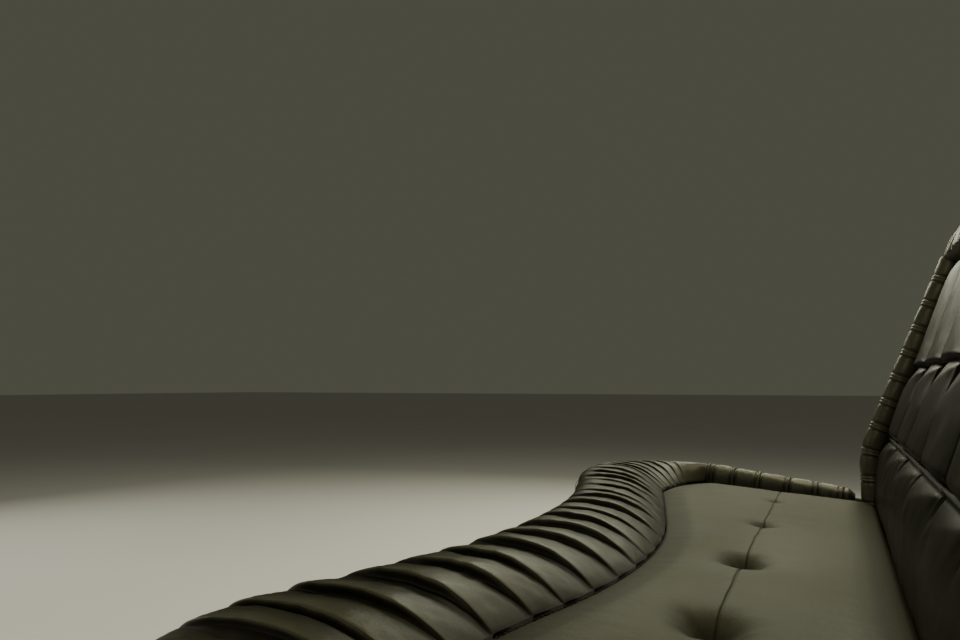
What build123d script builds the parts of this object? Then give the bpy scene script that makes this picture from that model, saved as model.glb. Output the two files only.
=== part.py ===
from build123d import *
from math import acos, atan2, cos, degrees, hypot, pi, radians, sin, sqrt, tan
import os

os.makedirs("parts", exist_ok=True)

# Side lounge bench, in millimetres. X runs along the bench, -Y faces the aisle,
# +Y faces the wall and Z is up. The origin is on the floor, in the middle of the
# four floor bolts.

# Heights, from the floor up
base_height = 228.0          # floor to the underside of the deck
deck_thickness = 12.0
foam_height = 65.0           # boxed foam base under the sewn top
seam_height = 25.0           # foam base to the seam round the seat panel
panel_crown = 8.0            # seat panel's middle above that seam
seat_tilt = 4.0              # degrees; the sewn top falls towards the wall about its middle

# Front edge, sewn line of the pleated bolster seen from above
length = 2304.0              # over the end rolls
bulge_y = -374.0             # middle of the front edge
waist_share = 0.45           # waist's place between the middle and the lobe
waist_y = -307.0
waist_radius = 1280.0
lobe_inset = 163.0           # foremost place of the lobe, from the end
lobe_y = -399.0
corner_radius = 155.0

# Seam between bolster and seat panel
seam_bulge_y = -198.0
seam_waist_share = 0.464     # waist's place between the middle and the panel's corner
seam_waist_y = -146.0
seam_waist_radius = 1000.0
seam_corner_inset = 222.0    # sharp corner of the seat panel, from the end
seam_corner_y = -236.0
seam_turn_y = -185.0         # where the end seam becomes straight
seam_turn_swell = 12.0       # how far the end seam bows out round the corner

# Pleated bolster
bolster_crest = 31.0         # above the panel seam
bolster_lip = 25.0           # outer side's height where it meets the boxing
pleat_pitch = 70.0
pleat_depth = 9.0
pleat_ridge = 0.28           # where the ridge stands in each pleat
fan_pleats = 6               # round each corner
fan_share = 0.62             # part of the corner that is pleated
patch_steps = 2              # sections of the smooth patch beyond
band_chords = 6              # flats round the band's section
band_fullness = 0.8          # under 1 is plumper than an ellipse

# End rolls of the seat
roll_width = 46.0            # over the tucks
roll_crest = 34.5            # above the panel seam, at its front end
roll_tail = 18.0             # the same at its rear end
tuck_pitch = 49.0
tuck_width = 5.0
tuck_rise = 2.0
first_tuck = 4.0             # from the roll's front end
roll_chords = 6              # flats round a roll's section

# Seat panel
panel_rear_y = 116.0
panel_edge = 9.0             # bevel round the panel's top
panel_rear_round = 14.0      # rear corners, clear of the backrest's edge rolls
button_pitch = 236.0
button_count = 9
button_y = -42.0
button_radius = 11.0
button_height = 6.0
button_sides = 10
button_taper = 38.0          # degrees
dimple_depth = 18.0
dimple_radius = 62.0
dimple_floor = 13.0          # flat under the button
sewn_gap = 1.0               # between pieces that are sewn side by side
rest_gap = 0.3               # under or behind a piece that rests

# Backrest
lean = 20.5                  # degrees from upright
kink_height = 84.0           # above the panel seam, where the lean starts
roll_line_y = 112.0          # edge roll's centre below the kink
roll_stand = 53.3            # board's face behind that centre, level
board_thickness = 12.0
channel_count = 12
channel_chords = 6           # flats across each channel
lower_seam = 27.0            # sewn lines, up the slope from the kink
upper_seam = 124.0
top_seam = 369.0
pad_thickness = 66.5         # at the ridge of a channel
seam_dip = 18.0              # how deep the sewn lines pull in
groove_dip = 15.0            # how deep the grooves between channels are
belly_drop = 13.0            # foremost place of the lower pad, below the kink
belly_hollow = 7.0           # how much thinner it is there than a channel
edge_roll_width = 49.0       # over the tucks
edge_bend_radius = 140.0
edge_tuck_pitch = 49.0
edge_first_tuck = 14.0       # up the roll from its foot
top_roll_height = 76.0       # up the slope
top_roll_front = 62.0        # foremost, out from the board's face
top_fold_pitch = 62.0
top_fold_depth = 5.0
top_end_taper = 30.0         # smooth stretch at each end
top_end_size = 0.8           # how much slimmer the roll is at its very end
top_chords = 7               # flats round its section
cap_thickness = 9.0
cap_clearance = 8.0          # between the top roll and the cap behind it

# Plywood base and frame
riser_inset = 62.0
riser_thickness = 15.0
deck_inset = 14.0
boxing_swell = 3.0           # boxing stands proud of the outer seam
boxing_edge = 12.0           # bevel along the boxing's edges
rear_y = 345.0               # wall side of the rails
rail_thickness = 18.0
rib_count = 4
rib_thickness = 15.0
rib_end_inset = 305.0        # outer ribs, from the ends
gusset_thickness = 18.0
gusset_channels = 2          # inner gussets, in channels from the middle
top_rail_height = 60.0
wall_bolt_spacing = 1440.0
bolt_radius = 4.5

# Steel floor brackets
bracket_leg = 40.0
bracket_gauge = 4.0
bracket_length = 110.0
bracket_hole_inset = 24.0    # bolt centre from the rib
bracket_y = 200.0

# Levels and lines that follow
deck_top = base_height + deck_thickness
foam_top = deck_top + foam_height
panel_seam = foam_top + seam_height
panel_top = panel_seam + panel_crown
kink_z = panel_seam + kink_height
half = length / 2
lean_angle = radians(lean)
tilt_angle = radians(seat_tilt)
board_y = roll_line_y + roll_stand                       # board's face at the kink
board_level = board_thickness / cos(lean_angle)          # its thickness, measured level
board_top = kink_z + top_seam * cos(lean_angle)
edge_radius = edge_roll_width / 2 - tuck_rise
roll_radius = roll_width / 2 - tuck_rise
channel_half = half - edge_roll_width - sewn_gap
channel_pitch = 2 * channel_half / channel_count
frame_half = channel_half + gusset_thickness


# The seat's top is drawn level, with heights from the floor at its middle, and then tilted
seat_place = Location((0, 0, panel_seam), (-seat_tilt, 0, 0)) * Location((0, 0, -panel_seam))


def on_seat(plane):
    """A plane of the level drawing of the seat's top, tilted with it."""
    return Plane(seat_place * plane.location)


def seat_z(y, level):
    """Height over the floor of a level of the tilted top."""
    return panel_seam + (level - panel_seam) / cos(tilt_angle) - y * tan(tilt_angle)


def board_face_y(z):
    return board_y + (z - kink_z) * tan(lean_angle)


def slope_point(up, out):
    """Place in Y and Z, from distances up the slope and out from the board's face."""
    return (
        board_y + up * sin(lean_angle) - out * cos(lean_angle),
        kink_z + up * cos(lean_angle) + out * sin(lean_angle))


# Curves in plan are chains of arcs, held as (centre, radius, start, sweep) with angles
# in degrees, and of straight runs, held as (start, end)


def arc_point(arc, share):
    centre, radius, start, sweep = arc
    angle = radians(start + sweep * share)
    return centre[0] + radius * cos(angle), centre[1] + radius * sin(angle)


def piece_length(piece):
    if len(piece) == 4:
        return piece[1] * radians(abs(piece[3]))
    return hypot(piece[1][0] - piece[0][0], piece[1][1] - piece[0][1])


def chain_point(chain, share):
    """Point at a share of a chain's length."""
    left = share * sum(piece_length(piece) for piece in chain)
    for piece in chain:
        run = piece_length(piece)
        if left <= run or piece is chain[-1]:
            break
        left -= run
    along = min(left / run, 1.0)
    if len(piece) == 4:
        return arc_point(piece, along)
    (x0, y0), (x1, y1) = piece
    return x0 + (x1 - x0) * along, y0 + (y1 - y0) * along


def chain_lines(chain):
    """Draws a chain's arcs and straight runs."""
    for piece in chain:
        if len(piece) == 4:
            CenterArc(piece[0], piece[1], piece[2], piece[3])
        else:
            Line(piece[0], piece[1])


def bulge_arc(bulge, waist, waist_r):
    """Arc from the middle of a wavy edge to its waist arc, with that arc's centre."""
    rise = waist[1] - bulge
    radius = (waist[0] ** 2 + rise ** 2) / (2 * rise) - waist_r
    waist_centre = (-waist[0], waist[1] - waist_r)
    turn = degrees(atan2(waist[0], bulge + radius - waist_centre[1]))
    return ((0, bulge + radius), radius, -90, -turn), waist_centre, turn


def front_edge(inset=0.0):
    """Left half of the front edge: bulge, waist, lobe and corner, moved in by inset."""
    lobe_x = half - lobe_inset
    waist_x = waist_share * lobe_x
    bulge, waist_centre, turn = bulge_arc(bulge_y, (waist_x, waist_y), waist_radius)
    run = lobe_x - waist_x
    fall = waist_y - lobe_y
    lobe_radius = (run ** 2 + fall ** 2) / (2 * fall) - waist_radius
    lobe_centre = (-lobe_x, lobe_y + lobe_radius)
    swing = degrees(atan2(run, lobe_centre[1] - waist_centre[1]))
    corner_x = -(half - corner_radius)
    reach = sqrt((lobe_radius - corner_radius) ** 2 - (corner_x + lobe_x) ** 2)
    corner_centre = (corner_x, lobe_centre[1] - reach)
    last = degrees(atan2(-lobe_x - corner_x, reach))
    return [
        (bulge[0], bulge[1] - inset, bulge[2], bulge[3]),
        (waist_centre, waist_radius + inset, 90 - turn, turn + swing),
        (lobe_centre, lobe_radius - inset, -90 + swing, -swing - last),
        (corner_centre, corner_radius - inset, -90 - last, last - 90),
    ]


def three_point_arc(start, middle, end):
    """Arc through three points, as centre, radius, start and sweep."""
    (x1, y1), (x2, y2), (x3, y3) = start, middle, end
    d = 2 * (x1 * (y2 - y3) + x2 * (y3 - y1) + x3 * (y1 - y2))
    s1, s2, s3 = x1 ** 2 + y1 ** 2, x2 ** 2 + y2 ** 2, x3 ** 2 + y3 ** 2
    cx = (s1 * (y2 - y3) + s2 * (y3 - y1) + s3 * (y1 - y2)) / d
    cy = (s1 * (x3 - x2) + s2 * (x1 - x3) + s3 * (x2 - x1)) / d
    first = degrees(atan2(y1 - cy, x1 - cx))
    sweep = (degrees(atan2(y3 - cy, x3 - cx)) - first) % 360
    return (cx, cy), hypot(x1 - cx, y1 - cy), first, sweep if sweep < 180 else sweep - 360


# Seam round the seat panel: wavy front, sharp corner, bowed end, straight end
corner_point = (seam_corner_inset - half, seam_corner_y)
seam_bulge, seam_centre, seam_turn = bulge_arc(
    seam_bulge_y, (-seam_waist_share * corner_point[0], seam_waist_y), seam_waist_radius)
corner_away = hypot(corner_point[0] - seam_centre[0], corner_point[1] - seam_centre[1])
corner_bearing = degrees(atan2(corner_point[1] - seam_centre[1], corner_point[0] - seam_centre[0]))
seam_leave = corner_bearing - degrees(acos(seam_waist_radius / corner_away))
seam_waist = (seam_centre, seam_waist_radius, 90 - seam_turn, seam_leave - 90 + seam_turn)
front_seam = [seam_bulge, seam_waist, (arc_point(seam_waist, 1), corner_point)]
end_seam_x = -(half - roll_width - sewn_gap)
end_seam_start = (end_seam_x, seam_turn_y)
bow_point = (
    (corner_point[0] + end_seam_x) / 2 - seam_turn_swell,
    (corner_point[1] + seam_turn_y) / 2 - seam_turn_swell)
corner_seam = [three_point_arc(corner_point, bow_point, end_seam_start)]

# Outer line of the band, parted opposite the seat panel's corner
outer_edge = front_edge()
corner_end = arc_point(outer_edge[3], 1)
front_outer = outer_edge[:3]
corner_outer = [outer_edge[3], (corner_end, (corner_end[0], seam_turn_y))]


def seat_outline(inset, rear):
    """Outline of the whole seat seen from above, moved in by inset."""
    edge = front_edge(inset)
    end = arc_point(edge[3], 1)
    with BuildSketch() as outline:
        with BuildLine():
            chain_lines(edge)
            Line(end, (end[0], rear))
            Line((end[0], rear), (0, rear))
            mirror(about=Plane.YZ)
        make_face()
    return outline.sketch.face()


def side_plate(points, x0, x1):
    """Plate between two places along the bench, from (y, z) points."""
    with BuildPart() as plate:
        with BuildSketch(Plane.YZ.offset(x0)):
            with BuildLine():
                Polyline(*points, close=True)
            make_face()
        extrude(amount=x1 - x0)
    return plate.part


def both_ends(part, label):
    """Writes a piece of the far end, and its mirror image at the near end."""
    for name, piece in (("far", part), ("near", part.mirror(Plane.YZ))):
        piece.label = f"{label}_{name}"
        export_step(piece, f"parts/{label}_{name}.step")


# Plywood risers
riser_outer = front_edge(riser_inset)
riser_inner = front_edge(riser_inset + riser_thickness)
riser_end_outer = -(half - riser_inset)
riser_end_inner = riser_end_outer + riser_thickness

with BuildPart() as riser_front:
    with BuildSketch():
        with BuildLine():
            chain_lines(riser_outer[:3])
            Line(arc_point(riser_outer[2], 1), arc_point(riser_inner[2], 1))
            chain_lines(riser_inner[:3])
            mirror(about=Plane.YZ)
        make_face()
    extrude(amount=base_height)
riser_front.part.label = "riser_front"
export_step(riser_front.part, "parts/riser_front.step")

with BuildPart() as riser_corner:
    with BuildSketch():
        with BuildLine():
            chain_lines([riser_outer[3]])
            Line(arc_point(riser_outer[3], 1), arc_point(riser_inner[3], 1))
            chain_lines([riser_inner[3]])
            Line(arc_point(riser_inner[3], 0), arc_point(riser_outer[3], 0))
        make_face()
    extrude(amount=base_height)
both_ends(riser_corner.part, "riser_corner")

with BuildPart() as riser_end:
    riser_end_y = arc_point(riser_outer[3], 1)[1]
    with BuildSketch():
        with Locations(((riser_end_outer + riser_end_inner) / 2, (riser_end_y + rear_y) / 2)):
            Rectangle(riser_thickness, rear_y - riser_end_y)
    extrude(amount=base_height)
both_ends(riser_end.part, "riser_end")

with BuildPart() as rear_rail:
    with BuildSketch():
        with Locations((0, rear_y - rail_thickness / 2)):
            Rectangle(-2 * riser_end_inner, rail_thickness)
    extrude(amount=base_height)
rear_rail.part.label = "rear_rail"
export_step(rear_rail.part, "parts/rear_rail.step")


def riser_inner_y(x):
    """Inside face of the front riser at a place along the bench."""
    for arc in riser_inner[:3]:
        centre, radius, start, sweep = arc
        if arc_point(arc, 1)[0] <= -abs(x) <= arc_point(arc, 0)[0]:
            side = 1 if sweep > 0 else -1
            return centre[1] + side * sqrt(radius ** 2 - (-abs(x) - centre[0]) ** 2)


# Ribs from the riser back to the rail, evenly spaced between the outer two
rib_reach = half - rib_end_inset
rib_places = [(2 * i / (rib_count - 1) - 1) * rib_reach for i in range(rib_count)]
rib_rear = rear_y - rail_thickness
for number, x in enumerate(rib_places, 1):
    x0 = x - rib_thickness / 2
    x1 = x + rib_thickness / 2
    rib_front = max(riser_inner_y(x0), riser_inner_y(x1))
    rib = side_plate(
        [(rib_front, 0), (rib_rear, 0), (rib_rear, base_height), (rib_front, base_height)], x0, x1)
    rib.label = f"base_rib_{number}"
    export_step(rib, f"parts/base_rib_{number}.step")

# Steel angles on the inner sides of the outer ribs, bolted to the floor
bracket_number = 0
for side in (1, -1):
    face_x = side * (rib_thickness / 2 - rib_reach)
    for y in (-bracket_y, bracket_y):
        bracket_number += 1
        with BuildPart() as bracket:
            with BuildSketch(Plane.XZ.offset(-y - bracket_length / 2)):
                with BuildLine():
                    Polyline(
                        (face_x, 0),
                        (face_x + side * bracket_leg, 0),
                        (face_x + side * bracket_leg, bracket_gauge),
                        (face_x + side * bracket_gauge, bracket_gauge),
                        (face_x + side * bracket_gauge, bracket_leg),
                        (face_x, bracket_leg),
                        close=True,
                    )
                make_face()
            extrude(amount=bracket_length)
            with Locations((face_x + side * bracket_hole_inset, y, bracket_gauge)):
                Hole(bolt_radius)
        bracket.part.label = f"floor_bracket_{bracket_number}"
        export_step(bracket.part, f"parts/floor_bracket_{bracket_number}.step")

with BuildPart() as deck:
    extrude(seat_outline(deck_inset, rear_y).moved(Location((0, 0, base_height))), amount=deck_thickness)
deck.part.label = "seat_deck"
export_step(deck.part, "parts/seat_deck.step")

# Boxed foam base, cut behind by the leaning board
board_plane = Plane(
    origin=(0, board_y, kink_z), x_dir=(1, 0, 0), z_dir=(0, -cos(lean_angle), sin(lean_angle)))
with BuildPart() as foam_base:
    extrude(
        seat_outline(-boxing_swell, board_face_y(panel_seam)).moved(Location((0, 0, deck_top))),
        amount=seat_z(bulge_y, panel_seam) - deck_top)
    rear_rims = foam_base.faces().sort_by(Axis.Y)[-1].edges()
    chamfer(
        [edge for edge in foam_base.edges().group_by(Axis.Z)[0] if edge not in rear_rims],
        length=boxing_edge)
    split(bisect_by=on_seat(Plane.XY.offset(foam_top)), keep=Keep.BOTTOM)
    split(bisect_by=board_plane.offset(rest_gap), keep=Keep.TOP)
foam_base.part.label = "seat_foam_base"
export_step(foam_base.part, "parts/seat_foam_base.step")


def panel_face(inset, level):
    """Seat panel's outline at a level, moved in by inset from its sewn edge."""
    with BuildSketch(on_seat(Plane.XY.offset(level))) as outline:
        with BuildLine():
            chain_lines(front_seam + corner_seam)
            Line(end_seam_start, (end_seam_x, panel_rear_y))
            Line((end_seam_x, panel_rear_y), (0, panel_rear_y))
            mirror(about=Plane.YZ)
        make_face()
        offset(amount=-sewn_gap - inset, kind=Kind.INTERSECTION)
        fillet(outline.vertices().group_by(Axis.Y)[-1], radius=panel_rear_round)
    return outline.sketch.face()


# Seat panel with a bevel round its top and a dimple for each button
button_places = [
    ((i - (button_count - 1) / 2) * button_pitch, button_y) for i in range(button_count)]
dimple_bottom = panel_top - dimple_depth
bevel_foot = panel_top - panel_edge
with BuildPart() as seat_panel:
    extrude(panel_face(0, foam_top), amount=bevel_foot - foam_top)
    loft([panel_face(0, bevel_foot), panel_face(panel_edge, panel_top)], ruled=True)
    with Locations(on_seat(Plane.XY.offset(panel_top - dimple_depth / 2))):
        with Locations(*button_places):
            Cone(dimple_floor, dimple_radius, dimple_depth, mode=Mode.SUBTRACT)
seat_panel.part.label = "seat_panel"
export_step(seat_panel.part, "parts/seat_panel.step")

# Covered buttons, bevelled discs on the dimples' floors
with BuildPart() as buttons:
    with BuildSketch(on_seat(Plane.XY.offset(dimple_bottom))):
        with Locations(*button_places):
            RegularPolygon(button_radius, button_sides)
    extrude(amount=button_height, taper=button_taper)
buttons.part.label = "seat_buttons"
export_step(buttons.part, "parts/seat_buttons.step")


def band_section(inner, outer, crest, tuck):
    """Plump upright section of the sewn band between two points seen from above."""
    dx, dy = outer[0] - inner[0], outer[1] - inner[1]
    width = hypot(dx, dy)
    outline = [(0, 0)]
    for chord in range(band_chords + 1):
        angle = pi * chord / band_chords
        along = (1 - cos(angle)) / 2
        foot = seam_height + (bolster_lip - seam_height) * along
        peak = seam_height + crest - tuck - (seam_height + bolster_lip) / 2
        outline.append((along * width, foot + peak * max(sin(angle), 0) ** band_fullness))
    outline.append((width, 0))
    place = Plane(origin=(*inner, foam_top), x_dir=(dx, dy, 0), z_dir=(dy, -dx, 0))
    with BuildSketch(on_seat(place)) as section:
        with BuildLine():
            Polyline(*outline, close=True)
        make_face()
    return section.sketch.face()


# Each pleat has a ridge and a valley, and closes at both of the band's seams
front_length = sum(piece_length(arc) for arc in front_outer)
front_pleats = round(front_length / pleat_pitch)
band = []
for pleat in range(front_pleats):
    for place, tuck in ((pleat, pleat_depth), (pleat + pleat_ridge, 0)):
        share = place / front_pleats
        band.append(band_section(
            chain_point(front_seam, share), chain_point(front_outer, share), bolster_crest, tuck))

# Round the corner the pleats fan out and fade, then a smooth patch narrows to the end roll
corner_stations = []
for pleat in range(fan_pleats):
    for ridge, tuck in ((0, pleat_depth), (pleat_ridge, 0)):
        share = fan_share * (pleat + ridge) / fan_pleats
        corner_stations.append((share, tuck * (1 - share)))
for step in range(patch_steps + 1):
    corner_stations.append((fan_share + (1 - fan_share) * step / patch_steps, 0))
for share, tuck in corner_stations:
    crest = bolster_crest + (roll_crest - bolster_crest) * share
    band.append(band_section(
        chain_point(corner_seam, share), chain_point(corner_outer, share), crest, tuck))

with BuildPart() as bolster:
    loft(band, ruled=True)
    mirror(about=Plane.YZ)
bolster.part.label = "seat_bolster"
export_step(bolster.part, "parts/seat_bolster.step")


def roll_face(place, radius, back):
    """Half-round section, its round side towards the plane's -Y and flat at its back."""
    outline = [(-radius, back), (radius, back)]
    for chord in range(roll_chords + 1):
        angle = pi * chord / roll_chords
        outline.append((radius * cos(angle), -radius * sin(angle)))
    with BuildSketch(place) as section:
        with BuildLine():
            Polyline(*outline, close=True)
        make_face()
    return section.sketch.face()


# End rolls of the seat, falling towards the wall, with raised tucks across them
roll_x = -(half - roll_width / 2)
roll_rear_y = roll_line_y - edge_roll_width / 2 - sewn_gap          # of its top
roll_length = (roll_rear_y - roll_tail * sin(tilt_angle)) / cos(tilt_angle) - seam_turn_y


def end_roll_face(along, radius):
    """Section of the end roll at a distance from its front end."""
    crest = roll_crest + (roll_tail - roll_crest) * along / roll_length
    axis_rise = crest - roll_radius
    place = Plane(
        origin=(roll_x, seam_turn_y + along, panel_seam + axis_rise), x_dir=(1, 0, 0), z_dir=(0, 1, 0))
    return roll_face(on_seat(place), radius, seam_height + axis_rise)


with BuildPart() as end_rolls:
    loft([end_roll_face(0, roll_radius), end_roll_face(roll_length, roll_radius)], ruled=True)
    for tuck in range(int((roll_length - first_tuck - tuck_width) // tuck_pitch) + 1):
        extrude(end_roll_face(first_tuck + tuck * tuck_pitch, roll_radius + tuck_rise), amount=tuck_width)
    mirror(about=Plane.YZ)
end_rolls.part.label = "seat_end_rolls"
export_step(end_rolls.part, "parts/seat_end_rolls.step")

# Plywood board behind the backrest, with gussets and rails to the wall
slope_drop = board_thickness * sin(lean_angle)
back_board = side_plate(
    [
        (board_face_y(deck_top), deck_top),
        slope_point(top_seam, 0),
        slope_point(top_seam, -board_thickness),
        (board_face_y(deck_top) + board_level, deck_top),
    ], -channel_half, channel_half)
back_board.label = "back_board"
export_step(back_board, "parts/back_board.step")

gusset_top = board_top - slope_drop - rest_gap
gusset_rear = rear_y - rail_thickness
gusset_middle = gusset_channels * channel_pitch - gusset_thickness / 2
gusset_starts = (-frame_half, -gusset_middle - gusset_thickness, gusset_middle, channel_half)
for number, x0 in enumerate(gusset_starts, 1):
    gusset = side_plate(
        [
            (board_face_y(deck_top) + board_level, deck_top),
            (board_face_y(gusset_top) + board_level, gusset_top),
            (gusset_rear, gusset_top),
            (gusset_rear, deck_top),
        ], x0, x0 + gusset_thickness)
    gusset.label = f"back_gusset_{number}"
    export_step(gusset, f"parts/back_gusset_{number}.step")

with BuildPart() as top_rail:
    with BuildSketch(Plane.XZ.offset(-rear_y)):
        with Locations((0, gusset_top - top_rail_height / 2)):
            Rectangle(2 * frame_half, top_rail_height)
            with Locations((-wall_bolt_spacing / 2, 0), (wall_bolt_spacing / 2, 0)):
                Circle(bolt_radius, mode=Mode.SUBTRACT)
    extrude(amount=rail_thickness)
top_rail.part.label = "back_top_rail"
export_step(top_rail.part, "parts/back_top_rail.step")

cap_front = slope_point(top_seam, -board_thickness)[0] + cap_clearance
back_cap = side_plate(
    [
        (cap_front, gusset_top),
        (rear_y, gusset_top),
        (rear_y, gusset_top + cap_thickness),
        (cap_front + cap_thickness * tan(lean_angle), gusset_top + cap_thickness),
    ], -frame_half, frame_half)
back_cap.label = "back_cap"
export_step(back_cap, "parts/back_cap.step")

# Lower pad: upright behind the seat panel, then bellied up to the first sewn line
pad_front_y = panel_rear_y * cos(tilt_angle) + panel_crown * sin(tilt_angle) + sewn_gap
pad_foot = seat_z(pad_front_y, foam_top) + rest_gap
pad_rear_foot = seat_z(board_face_y(pad_foot), foam_top) + rest_gap
pad_upper = lower_seam - sewn_gap / 2
pad_start = (pad_front_y, panel_seam)
pad_belly = slope_point(-belly_drop, pad_thickness - belly_hollow)
pad_end = slope_point(pad_upper, pad_thickness - seam_dip)
with BuildPart() as lower_pad:
    with BuildSketch(Plane.YZ.offset(-channel_half)):
        with BuildLine():
            Line((pad_front_y, pad_foot), pad_start)
            TangentArc(pad_start, pad_belly, tangent=(0, 1))
            ThreePointArc(pad_belly, slope_point(pad_upper / 2, pad_thickness - belly_hollow / 2), pad_end)
            Polyline(
                pad_end,
                slope_point(pad_upper, rest_gap),
                (board_face_y(pad_rear_foot) - rest_gap, pad_rear_foot),
                (pad_front_y, pad_foot),
            )
        make_face()
    extrude(amount=2 * channel_half)
lower_pad.part.label = "back_pad_lower"
export_step(lower_pad.part, "parts/back_pad_lower.step")


def channel_section(up, ridge, groove):
    """Scalloped section across the channels at a place up the slope."""
    place = Plane(
        origin=(0, *slope_point(up, 0)), x_dir=(1, 0, 0), z_dir=(0, sin(lean_angle), cos(lean_angle)))
    outline = [(channel_half, -rest_gap), (-channel_half, -rest_gap)]
    for chord in range(channel_count * channel_chords + 1):
        swell = sin(pi * (chord % channel_chords) / channel_chords)
        outline.append((
            chord * channel_pitch / channel_chords - channel_half, -groove - (ridge - groove) * swell))
    with BuildSketch(place) as section:
        with BuildLine():
            Polyline(*outline, close=True)
        make_face()
    return section.sketch.face()


# Rows of channels. Columns: share of the row's height, and how far the ridge and the
# groove lie below the full pad there.
middle_row = (
    (0.0, seam_dip, seam_dip + 3),
    (0.12, 10, 14),
    (0.45, 6, 13),
    (0.9, 11, seam_dip + 8),
    (1.0, seam_dip, seam_dip + 6),
)
upper_row = (
    (0.0, seam_dip, seam_dip + 8),
    (0.06, 9, seam_dip + 6),
    (0.2, 1, groove_dip),
    (0.88, 5, groove_dip + 1),
    (1.0, 14, groove_dip + 4),
)
for label, low, high, row in (
    ("back_channels_middle", lower_seam, upper_seam, middle_row),
    ("back_channels_upper", upper_seam, top_seam, upper_row),
):
    row_start = low + sewn_gap / 2
    row_height = high - low - sewn_gap
    with BuildPart() as channels:
        loft([
            channel_section(row_start + share * row_height, pad_thickness - ridge, pad_thickness - groove)
            for share, ridge, groove in row], ruled=True)
    channels.part.label = label
    export_step(channels.part, f"parts/{label}.step")

# Edge rolls of the backrest, upright and then leaning, with raised tucks
edge_x = half - edge_roll_width / 2
edge_stand = roll_stand * cos(lean_angle)                # roll's centre, out from the board's face
edge_top = top_seam - sewn_gap
edge_foot = seat_z(roll_line_y - edge_roll_width / 2, foam_top) + rest_gap
with BuildPart() as edge_rolls:
    with BuildLine() as edge_path:
        FilletPolyline(
            (edge_x, roll_line_y, edge_foot),
            (edge_x, roll_line_y, kink_z),
            (edge_x, *slope_point(edge_top, edge_stand)),
            radius=edge_bend_radius)
    edge_wire = edge_path.wire()
    sweep(roll_face(Plane(origin=edge_wire @ 0, z_dir=(0, 0, 1)), edge_radius, edge_radius), path=edge_wire)
    for tuck in range(int((edge_wire.length - edge_first_tuck - tuck_width) // edge_tuck_pitch) + 1):
        share = (edge_first_tuck + tuck * edge_tuck_pitch) / edge_wire.length
        tuck_start = Plane(origin=edge_wire @ share, x_dir=(1, 0, 0), z_dir=edge_wire % share)
        extrude(roll_face(tuck_start, edge_radius + tuck_rise, edge_radius), amount=tuck_width)
    mirror(about=Plane.YZ)
edge_rolls.part.label = "back_edge_rolls"
export_step(edge_rolls.part, "parts/back_edge_rolls.step")

# Boxing that closes each end of the backrest behind its edge roll
roll_behind = edge_radius + rest_gap
bend_cut = edge_bend_radius * (1 / cos(lean_angle / 2) - 1)
boxing = side_plate(
    [
        (roll_line_y + roll_behind, panel_seam),
        (roll_line_y + (roll_behind + bend_cut) / cos(lean_angle), kink_z),
        slope_point(edge_top, edge_stand - roll_behind - bend_cut),
        slope_point(edge_top, -board_thickness),
        (board_face_y(panel_seam) + board_level, panel_seam),
    ], sewn_gap - half, -channel_half - sewn_gap)
both_ends(boxing, "back_boxing")


def top_roll_section(x, tuck, size):
    """Section of the ruched roll, round from its front foot over the crown to the rear."""
    base = top_seam + rest_gap
    front = top_roll_front * size
    rear = -board_thickness
    outline = []
    for chord in range(top_chords + 1):
        angle = pi * chord / top_chords
        reach = (front + rear) / 2 + cos(angle) * (front - rear) / 2
        rise = (top_roll_height * size - tuck) * max(sin(angle), 0) ** band_fullness
        outline.append(slope_point(base + rise, reach))
    with BuildSketch(Plane.YZ.offset(x)) as section:
        with BuildLine():
            Polyline(*outline, close=True)
        make_face()
    return section.sketch.face()


# Ruched roll along the top, over the board and the channels
fold_half = half - top_end_taper
fold_count = round(fold_half / top_fold_pitch)
fold_pitch = fold_half / fold_count
top_sections = []
for fold in range(fold_count):
    top_sections.append(top_roll_section(fold * fold_pitch, top_fold_depth, 1))
    top_sections.append(top_roll_section((fold + pleat_ridge) * fold_pitch, 0, 1))
top_sections.append(top_roll_section(fold_half, top_fold_depth, 1))
top_sections.append(top_roll_section(half, 0, top_end_size))
with BuildPart() as top_roll:
    loft(top_sections, ruled=True)
    mirror(about=Plane.YZ)
top_roll.part.label = "back_top_bolster"
export_step(top_roll.part, "parts/back_top_bolster.step")
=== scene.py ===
import bpy
import bmesh
import numpy as np
from math import acos, atan2, cos, degrees, hypot, pi, radians, sin, sqrt, tan
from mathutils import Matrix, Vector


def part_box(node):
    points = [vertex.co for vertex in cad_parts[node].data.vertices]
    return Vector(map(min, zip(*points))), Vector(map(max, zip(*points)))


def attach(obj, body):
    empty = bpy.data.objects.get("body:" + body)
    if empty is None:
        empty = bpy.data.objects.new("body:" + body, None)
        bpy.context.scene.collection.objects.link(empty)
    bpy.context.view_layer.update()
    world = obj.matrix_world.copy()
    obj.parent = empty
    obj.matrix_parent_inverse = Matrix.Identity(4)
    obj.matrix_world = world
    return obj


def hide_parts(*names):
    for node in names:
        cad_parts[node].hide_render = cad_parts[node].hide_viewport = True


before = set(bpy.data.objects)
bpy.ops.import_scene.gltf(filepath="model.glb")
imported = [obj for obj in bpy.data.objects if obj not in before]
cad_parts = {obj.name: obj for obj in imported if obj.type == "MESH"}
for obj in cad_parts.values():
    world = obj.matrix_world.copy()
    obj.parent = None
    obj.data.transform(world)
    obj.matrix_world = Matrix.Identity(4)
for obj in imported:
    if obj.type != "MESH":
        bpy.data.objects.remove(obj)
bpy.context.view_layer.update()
print("stage: frame loaded")

# Camera, at the photograph's place beside the bench
view = {"place": (0.408, 0.060, 0.540), "pitch": 5.31, "heading": 206.79, "lens": 26.25, "sensor": 36.0}


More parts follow.
